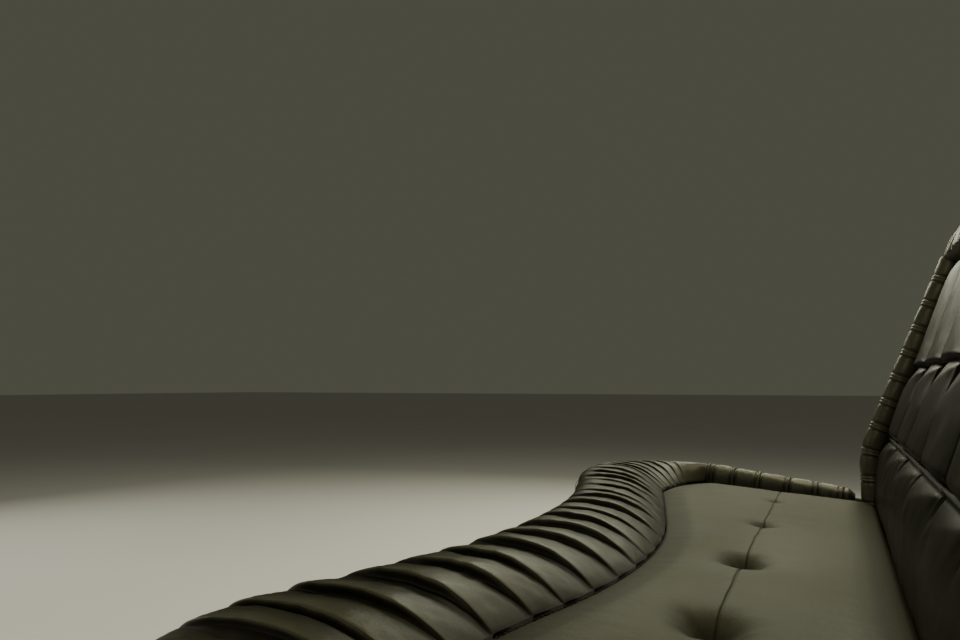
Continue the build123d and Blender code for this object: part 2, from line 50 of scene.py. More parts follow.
def makeCamera():
    data = bpy.data.cameras.new("camera")
    data.lens = view["lens"]
    data.sensor_width = view["sensor"]
    data.clip_start = 0.02
    camera = bpy.data.objects.new("camera", data)
    camera.location = view["place"]
    camera.rotation_euler = (radians(90 + view["pitch"]), 0, radians(view["heading"] - 90))
    bpy.context.scene.collection.objects.link(camera)
    bpy.context.scene.camera = camera


makeCamera()

# Sizes that the upholstery shares, in metres
seat = {
    "seam": 0.330,           # height of the sewn seam round the seat panel, at the origin
    "tilt": 4.0,             # degrees that the top falls towards the wall
    "deck": 0.240,           # top of the plywood deck
    "rear": 0.116,           # rear edge of the seat panel
    "rollWidth": 0.046,
    "rollStart": -0.185,
    "under": 0.0245,         # how far the panel, bolster and rolls reach below the seam
}
back = {
    "lean": 20.5,
    "kink": 0.414,           # height where the lean starts
    "rollLine": 0.112,       # with rollStand, where the board's front stands at the kink
    "rollStand": 0.0533,
    "lower": 0.022, "upper": 0.156, "top": 0.369,       # sewn lines, up the slope
    "pad": 0.0385,           # fronts of the pads, off the board
    "dip": 0.010,
    "lowerDip": 0.007,       # the lower pad stands out under the channels
    "channels": 12,
    "rollWidth": 0.049,
    "board": 0.012,
    "seamGap": 0.0006,       # room that each pad leaves at a sewn line
    "boardGap": 0.001,
}
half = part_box("seat_end_rolls")[1].x
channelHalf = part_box("back_channels_upper")[1].x
tilt = radians(seat["tilt"])
lean = radians(back["lean"])
boardY = back["rollLine"] + back["rollStand"]


def onSeat(x, y, rise):
    # from the level drawing of the seat's top, with heights over the seam, to the tilted place
    return np.stack(np.broadcast_arrays(
        x, y * cos(tilt) + rise * sin(tilt), seat["seam"] - y * sin(tilt) + rise * cos(tilt)), -1)


def onSlope(x, up, out):
    # from distances up the backrest and out from its board
    return np.stack(np.broadcast_arrays(
        x, boardY + up * sin(lean) - out * cos(lean), back["kink"] + up * cos(lean) + out * sin(lean)), -1)


def smoothStep(x):
    x = np.clip(x, 0, 1)
    return x * x * (3 - 2 * x)


def softNoise(u, v, seed):
    # smooth value noise between -1 and 1, one cell to each unit of u and v
    cells = 64               # the pattern repeats after these
    table = np.random.default_rng(seed).uniform(-1, 1, (cells, cells))
    u, v = np.broadcast_arrays(np.asarray(u, float), np.asarray(v, float))
    iu, iv = np.floor(u).astype(int), np.floor(v).astype(int)
    fu, fv = smoothStep(u - iu), smoothStep(v - iv)
    a = table[iu % cells, iv % cells] * (1 - fu) + table[(iu + 1) % cells, iv % cells] * fu
    b = table[iu % cells, (iv + 1) % cells] * (1 - fu) + table[(iu + 1) % cells, (iv + 1) % cells] * fu
    return a * (1 - fv) + b * fv


def bell(distance, width):
    return np.exp(-(distance / width) ** 2)


# Curves in plan, as chains of arcs (centre, radius, start, sweep) and straight runs (start, end)
linePoints = 600             # points in each seam's line
runPoints = 200              # points in each arc before they are spaced evenly


def arcPoint(arc, share):
    angle = radians(arc[2] + arc[3] * share)
    return arc[0][0] + arc[1] * cos(angle), arc[0][1] + arc[1] * sin(angle)


def bulgeArc(bulge, waistX, waistY, waistRadius):
    rise = waistY - bulge
    radius = (waistX ** 2 + rise ** 2) / (2 * rise) - waistRadius
    centre = (-waistX, waistY - waistRadius)
    turn = degrees(atan2(waistX, bulge + radius - centre[1]))
    return ((0, bulge + radius), radius, -90, -turn), centre, turn


edgeLine = {
    "bulge": -0.374, "waistShare": 0.45, "waist": -0.307, "waistRadius": 1.28,
    "lobeInset": 0.163, "lobe": -0.399, "corner": 0.155,
}
seamLine = {
    "bulge": -0.198, "waistShare": 0.464, "waist": -0.146, "waistRadius": 1.0,
    "cornerInset": 0.222, "corner": -0.236, "swell": 0.012,
}


def frontEdge():
    # left half of the outer seam: bulge, waist, lobe and corner
    lobeX = half - edgeLine["lobeInset"]
    waistX = edgeLine["waistShare"] * lobeX
    waistRadius, corner = edgeLine["waistRadius"], edgeLine["corner"]
    first, waistCentre, turn = bulgeArc(edgeLine["bulge"], waistX, edgeLine["waist"], waistRadius)
    run, fall = lobeX - waistX, edgeLine["waist"] - edgeLine["lobe"]
    lobeRadius = (run ** 2 + fall ** 2) / (2 * fall) - waistRadius
    lobeCentre = (-lobeX, edgeLine["lobe"] + lobeRadius)
    swing = degrees(atan2(run, lobeCentre[1] - waistCentre[1]))
    cornerX = corner - half
    reach = sqrt((lobeRadius - corner) ** 2 - (cornerX + lobeX) ** 2)
    last = degrees(atan2(-lobeX - cornerX, reach))
    return [
        first,
        (waistCentre, waistRadius, 90 - turn, turn + swing),
        (lobeCentre, lobeRadius, -90 + swing, -swing - last),
        ((cornerX, lobeCentre[1] - reach), corner, -90 - last, last - 90)]


def panelSeam():
    # left half of the seat panel's seam: front as arcs and a tangent, and the corner's bow
    corner = (seamLine["cornerInset"] - half, seamLine["corner"])
    waistX, radius = -seamLine["waistShare"] * corner[0], seamLine["waistRadius"]
    first, centre, turn = bulgeArc(seamLine["bulge"], waistX, seamLine["waist"], radius)
    away = hypot(corner[0] - centre[0], corner[1] - centre[1])
    bearing = degrees(atan2(corner[1] - centre[1], corner[0] - centre[0]))
    waistArc = (centre, radius, 90 - turn, bearing - degrees(acos(radius / away)) - 90 + turn)
    front = [first, waistArc, (arcPoint(waistArc, 1), corner)]
    end = (seat["rollWidth"] - half, seat["rollStart"])
    return front, corner, end


def chainPoints(chain):
    # points at even spacing along a chain
    runs, shares = [], np.linspace(0, 1, runPoints)
    for piece in chain:
        if len(piece) == 4:
            angle = np.radians(piece[2] + piece[3] * shares)
            runs.append(np.stack(
                [piece[0][0] + piece[1] * np.cos(angle), piece[0][1] + piece[1] * np.sin(angle)], -1))
        else:
            runs.append(np.array(piece[0]) + np.outer(shares, np.subtract(piece[1], piece[0])))
    return evenly(np.vstack(runs), linePoints)


def evenly(points, count):
    steps = np.linalg.norm(np.diff(points, axis=0), axis=1)
    length = np.concatenate([[0], np.cumsum(steps)])
    places = np.linspace(0, length[-1], count)
    return np.stack([np.interp(places, length, points[:, k]) for k in range(points.shape[1])], -1)


def lengthOf(points):
    return np.linalg.norm(np.diff(points, axis=0), axis=1).sum()


def along(points, share):
    places = np.linspace(0, 1, len(points))
    return np.stack([np.interp(share, places, points[:, k]) for k in range(points.shape[1])], -1)


outerArcs = frontEdge()
innerFront, innerCorner, innerEnd = panelSeam()
cornerEnd = arcPoint(outerArcs[3], 1)
chord = np.array([innerCorner, innerEnd])
bowShares = np.linspace(0, 1, 60)
bow = np.outer(np.sin(pi * bowShares), (-seamLine["swell"], -seamLine["swell"]))
cornerBow = chord[0] + np.outer(bowShares, chord[1] - chord[0]) + bow
lines = {
    "innerFront": chainPoints(innerFront),
    "innerCorner": evenly(cornerBow, linePoints),
    "outerFront": chainPoints(outerArcs[:3]),
    "outerCorner": chainPoints([outerArcs[3], (cornerEnd, (cornerEnd[0], seat["rollStart"]))]),
}


def bandLine(which, place):
    # a seam of the band; place runs 0 to 1 along the front and 1 to 2 round the corner
    front = along(lines[which + "Front"], np.clip(place, 0, 1))
    corner = along(lines[which + "Corner"], np.clip(place - 1, 0, 1))
    return np.where((place <= 1)[..., None], front, corner)


# Meshes
def addMesh(name, vertices, faces, smooth=True):
    mesh = bpy.data.meshes.new(name)
    mesh.from_pydata(vertices, [], faces)
    work = bmesh.new()
    work.from_mesh(mesh)
    bmesh.ops.recalc_face_normals(work, faces=work.faces)
    work.to_mesh(mesh)
    work.free()
    mesh.polygons.foreach_set("use_smooth", [smooth] * len(mesh.polygons))
    piece = bpy.data.objects.new(name, mesh)
    bpy.context.scene.collection.objects.link(piece)
    return piece


def sweptMesh(name, rings, marks=None):
    # closed skin through rings of equal counts, with flat ends; marks are values for each point
    count, size = rings.shape[:2]
    i, j = np.meshgrid(np.arange(count - 1), np.arange(size), indexing="ij")
    k = (j + 1) % size
    quads = np.stack([i * size + j, i * size + k, (i + 1) * size + k, (i + 1) * size + j], -1)
    faces = quads.reshape(-1, 4).tolist()
    faces.append(list(range(size)))
    faces.append(list(range((count - 1) * size, count * size)))
    piece = addMesh(name, rings.reshape(-1, 3).tolist(), faces)
    for mark, values in (marks or {}).items():
        layer = piece.data.attributes.new(mark, "FLOAT", "POINT")
        layer.data.foreach_set("value", np.ascontiguousarray(values, dtype=np.float32).ravel())
    return piece


def marked(cavity, rub, columns=2):
    # a skin's marks, with those of the hidden columns that close it: full painted shade and no highlight or wear
    hidden = np.ones((len(cavity), columns))
    return {"cavity": np.hstack([cavity, hidden]), "rub": np.hstack([rub, 0 * hidden])}


def dress(piece, material, nodes=()):
    piece.data.materials.clear()
    piece.data.materials.append(material)
    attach(piece, "root")
    if nodes:
        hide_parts(*nodes)
    return piece


# Shader groups and materials
def newGroup(name, inputs, outputs):
    group = bpy.data.node_groups.new(name, "ShaderNodeTree")
    for label, kind, value in inputs:
        socket = group.interface.new_socket(label, in_out="INPUT", socket_type=kind)
        if value is not None:
            socket.default_value = value
    for label, kind in outputs:
        group.interface.new_socket(label, in_out="OUTPUT", socket_type=kind)
    return group, group.nodes.new("NodeGroupInput"), group.nodes.new("NodeGroupOutput")


def math(tree, operation, first, second=None, third=None):
    node = tree.nodes.new("ShaderNodeMath")
    node.operation = operation
    for index, value in enumerate((first, second, third)):
        if value is None:
            continue
        if isinstance(value, (int, float)):
            node.inputs[index].default_value = value
        else:
            tree.links.new(value, node.inputs[index])
    return node.outputs[0]


def noiseNode(tree, vector, scale, detail=2.0, roughness=0.5):
    node = tree.nodes.new("ShaderNodeTexNoise")
    node.inputs["Detail"].default_value = detail
    node.inputs["Roughness"].default_value = roughness
    tree.links.new(vector, node.inputs["Vector"])
    if isinstance(scale, (int, float)):
        node.inputs["Scale"].default_value = scale
    else:
        tree.links.new(scale, node.inputs["Scale"])
    return node.outputs["Fac"]


def rampNode(tree, value, stops):
    node = tree.nodes.new("ShaderNodeValToRGB")
    while len(node.color_ramp.elements) < len(stops):
        node.color_ramp.elements.new(0.5)
    for element, (place, colour) in zip(node.color_ramp.elements, stops):
        element.position = place
        element.color = (*colour, 1)
    tree.links.new(value, node.inputs[0])
    return node.outputs[0]


def mixColour(tree, factor, first, second, blend="MIX"):
    node = tree.nodes.new("ShaderNodeMix")
    node.data_type = "RGBA"
    node.blend_type = blend
    for socket, value in ((node.inputs[0], factor), (node.inputs[6], first), (node.inputs[7], second)):
        if isinstance(value, (int, float)):
            socket.default_value = value
        elif isinstance(value, tuple):
            socket.default_value = (*value, 1)
        else:
            tree.links.new(value, socket)
    return node.outputs[2]


def scaledPlace(tree, vector, scale):
    node = tree.nodes.new("ShaderNodeVectorMath")
    node.operation = "MULTIPLY"
    tree.links.new(vector, node.inputs[0])
    node.inputs[1].default_value = scale
    return node.outputs[0]


def bumpOn(tree, shader, height, strength, distance):
    bump = tree.nodes.new("ShaderNodeBump")
    bump.inputs["Strength"].default_value = strength
    bump.inputs["Distance"].default_value = distance
    tree.links.new(height, bump.inputs["Height"])
    tree.links.new(bump.outputs[0], shader.inputs["Normal"])


hide = {
    "drift": 180.0, "wander": 0.0012, "softness": 0.35, "foldSharpness": 9.0, "clouds": 9.0,
    "cloudRamp": (0.35, 0.68), "poreRamp": (0.3, 0.7), "poreShade": 0.72, "breakup": 0.8, "creaseRough": 0.12,
}


def leatherGrainGroup():
    # pebbled hide: fine cells, pores between them, and long creases
    group, given, result = newGroup(
        "leatherGrain",
        [("Place", "NodeSocketVector", None), ("Cell scale", "NodeSocketFloat", 700.0),
         ("Crease scale", "NodeSocketFloat", 60.0), ("Crease depth", "NodeSocketFloat", 0.5)],
        [("Height", "NodeSocketFloat"), ("Pores", "NodeSocketFloat"), ("Clouds", "NodeSocketFloat")])
    place = given.outputs["Place"]
    wander = group.nodes.new("ShaderNodeVectorMath")
    wander.operation = "MULTIPLY_ADD"
    drift = group.nodes.new("ShaderNodeTexNoise")
    drift.inputs["Scale"].default_value = hide["drift"]
    group.links.new(place, drift.inputs["Vector"])
    group.links.new(drift.outputs["Color"], wander.inputs[0])
    wander.inputs[1].default_value = (hide["wander"],) * 3
    group.links.new(place, wander.inputs[2])
    cells = group.nodes.new("ShaderNodeTexVoronoi")
    cells.feature = "SMOOTH_F1"
    cells.inputs["Smoothness"].default_value = hide["softness"]
    group.links.new(wander.outputs[0], cells.inputs["Vector"])
    group.links.new(given.outputs["Cell scale"], cells.inputs["Scale"])
    pebble = math(group, "SUBTRACT", 1.0, cells.outputs["Distance"])
    creases = noiseNode(group, wander.outputs[0], given.outputs["Crease scale"], 4.0, 0.6)
    fold = math(group, "ABSOLUTE", math(group, "SUBTRACT", creases, 0.5))
    fold = math(group, "MINIMUM", math(group, "MULTIPLY", fold, hide["foldSharpness"]), 1.0)
    fold = math(group, "MULTIPLY", fold, given.outputs["Crease depth"])
    clouds = noiseNode(group, place, hide["clouds"], 3.0, 0.55)
    height = math(group, "ADD", math(group, "MULTIPLY", pebble, 0.5), fold)
    group.links.new(height, result.inputs["Height"])
    group.links.new(pebble, result.inputs["Pores"])
    group.links.new(clouds, result.inputs["Clouds"])
    return group


def markBreakupGroup():
    # how strongly a place takes the painted highlight (partly wear) or the painted shade, from a mesh's mark and
    # broken up by noise
    group, given, result = newGroup(
        "brokenMark",
        [("Mark", "NodeSocketFloat", 0.0), ("Place", "NodeSocketVector", None),
         ("Breakup scale", "NodeSocketFloat", 45.0), ("Breakup", "NodeSocketFloat", 0.5)],
        [("Mask", "NodeSocketFloat")])
    noise = noiseNode(group, given.outputs["Place"], given.outputs["Breakup scale"], 4.0, 0.6)
    broken = math(group, "MULTIPLY", math(group, "SUBTRACT", noise, 0.5), given.outputs["Breakup"])
    mask = math(group, "ADD", given.outputs["Mark"], math(group, "MULTIPLY", broken, given.outputs["Mark"]))
    node = group.nodes.new("ShaderNodeClamp")
    group.links.new(mask, node.inputs[0])
    group.links.new(node.outputs[0], result.inputs["Mask"])
    return group


leatherGrain = leatherGrainGroup()
brokenMark = markBreakupGroup()


def newMaterial(name):
    material = bpy.data.materials.new(name)
    material.use_nodes = True
    tree = material.node_tree
    shader = tree.nodes["Principled BSDF"]
    place = tree.nodes.new("ShaderNodeTexCoord").outputs["Object"]
    return material, tree, shader, place


def groupNode(tree, group, **values):
    node = tree.nodes.new("ShaderNodeGroup")
    node.node_tree = group
    for label, value in values.items():
        socket = node.inputs[label.replace("_", " ")]
        if isinstance(value, (int, float)):
            socket.default_value = value
        else:
            tree.links.new(value, socket)
    return node


def leather(name, look):
    material, tree, shader, place = newMaterial(name)
    grain = groupNode(
        tree, leatherGrain, Place=place, Cell_scale=look["cells"], Crease_scale=look["creases"],
        Crease_depth=look["creaseDepth"])
    marks = {}
    for mark in ("cavity", "rub"):
        node = tree.nodes.new("ShaderNodeAttribute")
        node.attribute_name = mark
        marks[mark] = groupNode(
            tree, brokenMark, Mark=node.outputs["Fac"], Place=place, Breakup_scale=look["breakup"],
            Breakup=hide["breakup"]).outputs["Mask"]
    clouds = grain.outputs["Clouds"]
    low, high = hide["cloudRamp"]
    cloudMask = rampNode(tree, clouds, [(low, (0, 0, 0)), (high, (1, 1, 1))])
    base = mixColour(tree, cloudMask, look["dark"], look["light"])
    # lighter where the rub mark lies: mostly painted highlight on crests, tucks and facets, partly wear
    base = mixColour(tree, math(tree, "MULTIPLY", marks["rub"], look["wearHighlightAmount"]), base, look["wearHighlight"])
    # darker where the cavity mark lies: painted shade in creases, valleys, seams, dimples and under parts
    base = mixColour(tree, math(tree, "MULTIPLY", marks["cavity"], look["paintedShadeAmount"]), base, look["paintedShadeColour"])
    low, high = hide["poreRamp"]
    pores = rampNode(tree, grain.outputs["Pores"], [(low, (hide["poreShade"],) * 3), (high, (1, 1, 1))])
    base = mixColour(tree, 1.0, base, pores, "MULTIPLY")
    tree.links.new(base, shader.inputs["Base Color"])
    rough = math(tree, "MULTIPLY_ADD", clouds, look["roughSpread"], look["rough"] - look["roughSpread"] / 2)
    rough = math(tree, "MULTIPLY_ADD", marks["rub"], -look["polish"], rough)
    rough = math(tree, "MULTIPLY_ADD", marks["cavity"], hide["creaseRough"], rough)
    tree.links.new(rough, shader.inputs["Roughness"])
    bumpOn(tree, shader, grain.outputs["Height"], look["bump"], look["bumpDepth"])
    shader.inputs["Specular IOR Level"].default_value = look["specular"]
    shader.inputs["Specular Tint"].default_value = (*look["tint"], 1)
    return material


leatherLooks = {
    "seatLeather": {
        "dark": (0.0110, 0.0104, 0.0050), "light": (0.019, 0.0183, 0.0094), "wearHighlight": (0.066, 0.0635, 0.040),
        "paintedShadeColour": (0.0012, 0.0012, 0.0007), "wearHighlightAmount": 0.7, "paintedShadeAmount": 0.97, "rough": 0.42, "roughSpread": 0.16,
        "polish": 0.08, "cells": 900.0, "creases": 48.0, "creaseDepth": 0.55, "breakup": 60.0,
        "bump": 0.35, "bumpDepth": 0.0003, "specular": 0.06, "tint": (1.0, 0.95, 0.66)},
    "panelLeather": {
        "dark": (0.022, 0.0212, 0.0095), "light": (0.033, 0.0322, 0.0150), "wearHighlight": (0.052, 0.050, 0.030),
        "paintedShadeColour": (0.006, 0.005, 0.004), "wearHighlightAmount": 0.35, "paintedShadeAmount": 0.9, "rough": 0.60, "roughSpread": 0.16,
        "polish": 0.06, "cells": 800.0, "creases": 30.0, "creaseDepth": 0.7, "breakup": 40.0,
        "bump": 0.40, "bumpDepth": 0.0004, "specular": 0.08, "tint": (1.0, 0.95, 0.66)},
    "rollLeather": {
        "dark": (0.029, 0.0275, 0.0160), "light": (0.043, 0.0415, 0.0255), "wearHighlight": (0.078, 0.074, 0.050),
        "paintedShadeColour": (0.004, 0.004, 0.003), "wearHighlightAmount": 0.5, "paintedShadeAmount": 0.8, "rough": 0.44, "roughSpread": 0.14,
        "polish": 0.08, "cells": 900.0, "creases": 48.0, "creaseDepth": 0.5, "breakup": 60.0,
        "bump": 0.22, "bumpDepth": 0.0003, "specular": 0.20, "tint": (1.0, 0.95, 0.70)},
    "backLeather": {
        "dark": (0.0060, 0.0053, 0.0029), "light": (0.0105, 0.0094, 0.0054), "wearHighlight": (0.024, 0.0230, 0.0155),
        "paintedShadeColour": (0.002, 0.002, 0.001), "wearHighlightAmount": 0.7, "paintedShadeAmount": 0.85, "rough": 0.42, "roughSpread": 0.14,
        "polish": 0.08, "cells": 900.0, "creases": 52.0, "creaseDepth": 0.5, "breakup": 55.0,
        "bump": 0.28, "bumpDepth": 0.0003, "specular": 0.030, "tint": (1.0, 0.96, 0.74)},
}
# a lighter copy of the roll leather for the seat's end rolls: painted light that stands in for lamp light on their
# faces
leatherLooks["endRollLeather"] = {
    **leatherLooks["rollLeather"], "dark": (0.058, 0.0565, 0.0330), "light": (0.084, 0.0820, 0.0500)}
seatLeather, panelLeather, rollLeather, backLeather, endRollLeather = (
    leather(name, look) for name, look in leatherLooks.items())
print("stage: leather made")

# Pleated bolster along the front and round both corners
bolster = {
    "crest": 0.031, "crestAtRoll": 0.0345, "fullness": 0.75, "innerFullness": 1.95,
    "pitch": 0.054, "spread": 0.26, "depth": 0.0070, "farDepth": 0.0040, "depthSpread": 0.45,
    "depthByWidth": (0.45, 0.55, 1.25),          # depth of no width, gain with width, and cap
    "nearReach": 0.16, "fadeSpread": 0.08, "steep": 0.15, "overhang": 0.004, "belly": 0.55,
    "reach": (0.42, 0.94, 0.60, 0.34),           # inner run, outer loss, outer start and outer run
    "fanPleats": 6, "fanShare": 0.66, "fanDepth": 0.0055, "fanSpread": 0.12, "fanFade": 0.4,
    "patchSteps": 16, "patchShare": 0.6, "wander": 0.006, "wanderTurn": 2.2,
    "gatherPitch": 0.0095, "gather": 0.0004, "wrinkle": 0.0006, "fineWrinkle": 0.0005,
    "crease": 0.0012, "valley": 0.035, "cornerLightening": 0.7, "bandWidth": 0.16,
    "acrossSteps": 56, "alongSteps": 24, "turned": 7, "seed": 14, "nearSeed": 54,
}
frontLength = (lengthOf(lines["innerFront"]) + lengthOf(lines["outerFront"])) / 2
cornerLength = (lengthOf(lines["innerCorner"]) + lengthOf(lines["outerCorner"])) / 2


def pleatWidths(chance, count, total, spread):
    widths = 1 + chance.uniform(-spread, spread, count)
    return widths * total / widths.sum()


def bolsterStations(chance, turned):
    # for each station: place along the band, place in its pleat, the pleat's depth, lean and wander
    steep, pitch = bolster["steep"], bolster["pitch"]
    steepSteps = bolster["alongSteps"] // 3
    base, gain, cap = bolster["depthByWidth"]
    shares = np.concatenate([
        np.linspace(0, steep, steepSteps, endpoint=False),
        np.linspace(steep, 1, bolster["alongSteps"] - steepSteps, endpoint=False)])
    runs = [
        (0.0, 1.0, round(frontLength / pitch), bolster["depth"], frontLength, bolster["spread"]),
        (1.0, bolster["fanShare"], bolster["fanPleats"], bolster["fanDepth"], cornerLength, bolster["fanSpread"])]
    rows = []
    for start, reach, count, depth, length, spread in runs:
        place, onFront = start, start == 0
        fading = bolster["farDepth"] / depth - 1 if onFront else -bolster["fanFade"]
        for number, width in enumerate(pleatWidths(chance, count, reach, spread)):
            fade = 1 + fading * number / count
            deep = depth * fade * (1 + chance.uniform(-bolster["depthSpread"], bolster["depthSpread"]))
            deep *= min(cap, base + gain * width * length / pitch)
            lift = bolster["overhang"] * deep / bolster["depth"] / length
            turn = chance.uniform(0, 2 * pi)
            outerFade = chance.uniform(-bolster["fadeSpread"], bolster["fadeSpread"])
            outerFade += bolster["nearReach"] * (1 - number / count) * onFront
            backwards = onFront and number < turned
            for share in (1 - shares[:0:-1] if backwards else shares):
                inPleat = 1 - share if backwards else share
                rows.append((place + share * width, inPleat, deep, -lift if backwards else lift, turn, outerFade))
            place += width
    for place in np.linspace(1 + bolster["fanShare"], 2, bolster["patchSteps"]):
        rows.append((place, bolster["patchShare"], 0.0, 0.0, 0.0, 0.0))
    return np.array(rows)


def bolsterHalf(side, seed):
    rows = bolsterStations(np.random.default_rng(seed), bolster["turned"] if side < 0 else 0)
    place, share, deep, lift, turn, outerFade = (rows[:, k][:, None] for k in range(6))
    pleated = deep > 0
    angle = np.linspace(0, pi, bolster["acrossSteps"])[None, :]
    across = (1 - np.cos(angle)) / 2
    steep = bolster["steep"]
    past = np.clip((share - steep) / (1 - steep), 0, 1)
    lifted = np.where(share < steep, smoothStep(share / steep), (1 - past) * (1 + bolster["belly"] * past))
    innerRun, outerLoss, outerStart, outerRun = bolster["reach"]
    reach = (0.5 + 0.5 * smoothStep(across / innerRun)) * (
        1 - outerLoss * smoothStep((across - outerStart - outerFade) / outerRun))
    wander = bolster["wander"] / frontLength * np.sin(bolster["wanderTurn"] * across + turn) * pleated
    at = np.clip(place - lift * lifted * reach + wander * np.minimum(1, place * 30), 0, 2)
    inner, outer = bandLine("inner", at), bandLine("outer", at)
    flat = inner + (outer - inner) * across[..., None]

    # heights over the seam
    crest = bolster["crest"] + (bolster["crestAtRoll"] - bolster["crest"]) * smoothStep(at - 1)
    metres = np.where(at < 1, at * frontLength, frontLength + (at - 1) * cornerLength)
    inValley = bell(np.minimum(share, 1 - share), bolster["valley"])
    sink = deep * reach * (1 - lifted) + bolster["crease"] * reach * inValley * pleated
    gathers = bolster["gather"] * np.sin(
        2 * pi * metres / bolster["gatherPitch"] + 3 * softNoise(metres * 30, across * 3, seed))
    gathers = gathers * smoothStep((across - 0.6) / 0.2) * (at < 1 + bolster["fanShare"])
    wrinkle = bolster["wrinkle"] * softNoise(metres * 36, across * 7, seed + 1)
    wrinkle = wrinkle + bolster["fineWrinkle"] * softNoise(metres * 90, across * 16, seed + 2)
    power = np.where(angle < pi / 2, bolster["innerFullness"], bolster["fullness"])
    body = np.maximum(np.sin(angle), 0) ** power
    rise = crest * body - (sink * body ** 0.4) + (gathers + wrinkle) * np.sin(angle)
    top = onSeat(side * flat[..., 0], flat[..., 1], rise)

    # painted shade in the valleys, on the pleats' steep walls and along the seams; painted highlight on the crests,
    # and lighter round the corner
    width = bolster["bandWidth"]
    seamNear = bell(across * width, 0.0022) + bell((1 - across) * width, 0.0025)
    valley = inValley * pleated * reach
    wall = (share < steep) * (1 - smoothStep(share / steep) ** 3) * pleated * reach
    wall = wall * np.clip(1.8 * deep / bolster["depth"], 0, 1)
    hollow = 0.6 * (1 - lifted) ** 3 * reach * np.clip(1.4 * deep / bolster["depth"], 0, 1)
    cavity = np.clip(hollow + wall + valley + seamNear, 0, 1)
    rub = np.clip(lifted ** 3 * reach * 1.1, 0, 1) * np.sin(angle)
    rub = np.clip(rub + bolster["cornerLightening"] * smoothStep((at - 0.85) / 0.5) * (1 - cavity), 0, 1)
    ring = [top]
    for column in (-1, 0):
        spot = flat[:, column] * 0.98 + (inner[:, column] + outer[:, column]) * 0.01
        ring.append(onSeat(side * spot[:, 0], spot[:, 1], -seat["under"] * np.ones(len(rows)))[:, None, :])
    return np.concatenate(ring, 1), marked(cavity, rub)


def makeBolster():
    far, farMarks = bolsterHalf(1, bolster["seed"])
    near, nearMarks = bolsterHalf(-1, bolster["nearSeed"])
    marks = {mark: np.concatenate([nearMarks[mark][:0:-1], farMarks[mark]]) for mark in farMarks}
    piece = sweptMesh("seatBolster", np.concatenate([near[:0:-1], far]), marks)
    dress(piece, seatLeather, ["seat_bolster"])


makeBolster()
print("stage: bolster made")

# Seat panel, with a button line along it
panel = {
    "crown": 0.007, "edgeHeight": -0.003, "edgeReach": 0.036, "edgeShade": 0.30,
    "seamDepth": 0.0015, "seamWidth": 0.0035, "rearInset": 0.006, "rearGap": 0.0002, "gap": 0.001,
    "frontRows": 58, "rearRows": 36, "step": 0.0036,
    "buttonLine": -0.042, "buttonPitch": 0.236, "buttons": 9,
    # depth and reach of the dimples, from the middle one outwards
    "dimple": (0.027, 0.027, 0.024, 0.014, 0.008), "dimpleReach": (0.027, 0.026, 0.021, 0.015, 0.011),
    "dimplePower": 1.6, "rays": 0.08, "shadeDepth": 0.024,
    "grooveDepth": 0.0013, "grooveWidth": 0.0011, "grooveWander": 0.0015, "pull": 0.0007, "pullWidth": 0.022,
    "wave": 0.0022, "wrinkle": 0.00045,
    "tackY": -0.137, "tackInset": 0.007, "tackDepth": 0.004, "tackReach": 0.006, "seed": 5,
}


def buttonPlaces():
    middle = (panel["buttons"] - 1) / 2
    for number in range(panel["buttons"]):
        rank = int(abs(number - middle))
        x = (number - middle) * panel["buttonPitch"]
        yield x, panel["buttonLine"], panel["dimple"][rank], panel["dimpleReach"][rank]


def panelRise(x, y, toFront):
    # height of the sewn top over the seam, and its painted shade mark
    seed = panel["seed"]
    toEnd = half - seat["rollWidth"] - np.abs(x)
    toRear = seat["rear"] - y
    edge = np.minimum(toFront, np.minimum(toEnd, toRear + panel["rearInset"]))
    ramp = np.clip(edge / panel["edgeReach"], 0, 1.6)
    swell = np.minimum(ramp, 1) - 0.16 * np.exp(-((ramp - 1) / 0.3) ** 2)
    rise = panel["edgeHeight"] + (panel["crown"] - panel["edgeHeight"]) * swell
    rise = rise - panel["seamDepth"] * bell(edge, panel["seamWidth"])
    wave = softNoise(x / 0.17, y / 0.2, seed) * panel["wave"]
    wander = panel["grooveWander"] * softNoise(x / 0.03, 0.5, 9)
    groove = bell(y - panel["buttonLine"] - wander, panel["grooveWidth"])
    pull = bell(y - panel["buttonLine"], panel["pullWidth"])
    rise = rise + wave - (panel["grooveDepth"] * groove + panel["pull"] * pull) * smoothStep(toEnd / 0.02)

    # dimples with rays of tension round them, and the dent beside each end roll
    pit = np.zeros_like(rise)
    tension = np.zeros_like(rise)
    for number, (bx, by, deep, reach) in enumerate(buttonPlaces()):
        away = np.hypot((x - bx) * 0.92, y - by)
        pit = np.maximum(pit, deep * np.exp(-(away / reach) ** panel["dimplePower"]))
        bearing = np.arctan2(y - by, x - bx)
        rays = softNoise(bearing * 2.4 + 10, 0.3 + number, 31) * bell(away - reach, reach * 0.8)
        tension += rays * deep * panel["rays"]
    tackAway = np.hypot(toEnd - panel["tackInset"], (y - panel["tackY"]) * 0.8)
    pit = np.maximum(pit, panel["tackDepth"] * bell(tackAway, panel["tackReach"]))

    creases = softNoise(x / 0.015, y / 0.11 + softNoise(x / 0.05, y / 0.05, 3) * 0.3, seed + 1)
    fine = softNoise(x / 0.007, y / 0.05, seed + 2)
    rise = rise - pit + tension + panel["wrinkle"] * (creases * 0.8 + fine * 0.35) * smoothStep(edge / 0.02) * (
        0.55 + 0.45 * softNoise(x / 0.13, y / 0.09, 44))
    # painted shadow in a band along the seam where the bolster's shadow falls, and painted shade along the seam, in
    # the groove and in the dimples
    slope = panel["edgeShade"] * (1 - smoothStep((edge / panel["edgeReach"] - 0.8) / 0.4))
    cavity = np.clip(bell(edge, 0.0025) + slope + 0.4 * groove + (pit / panel["shadeDepth"]) ** 2.2, 0, 1)
    return rise, cavity


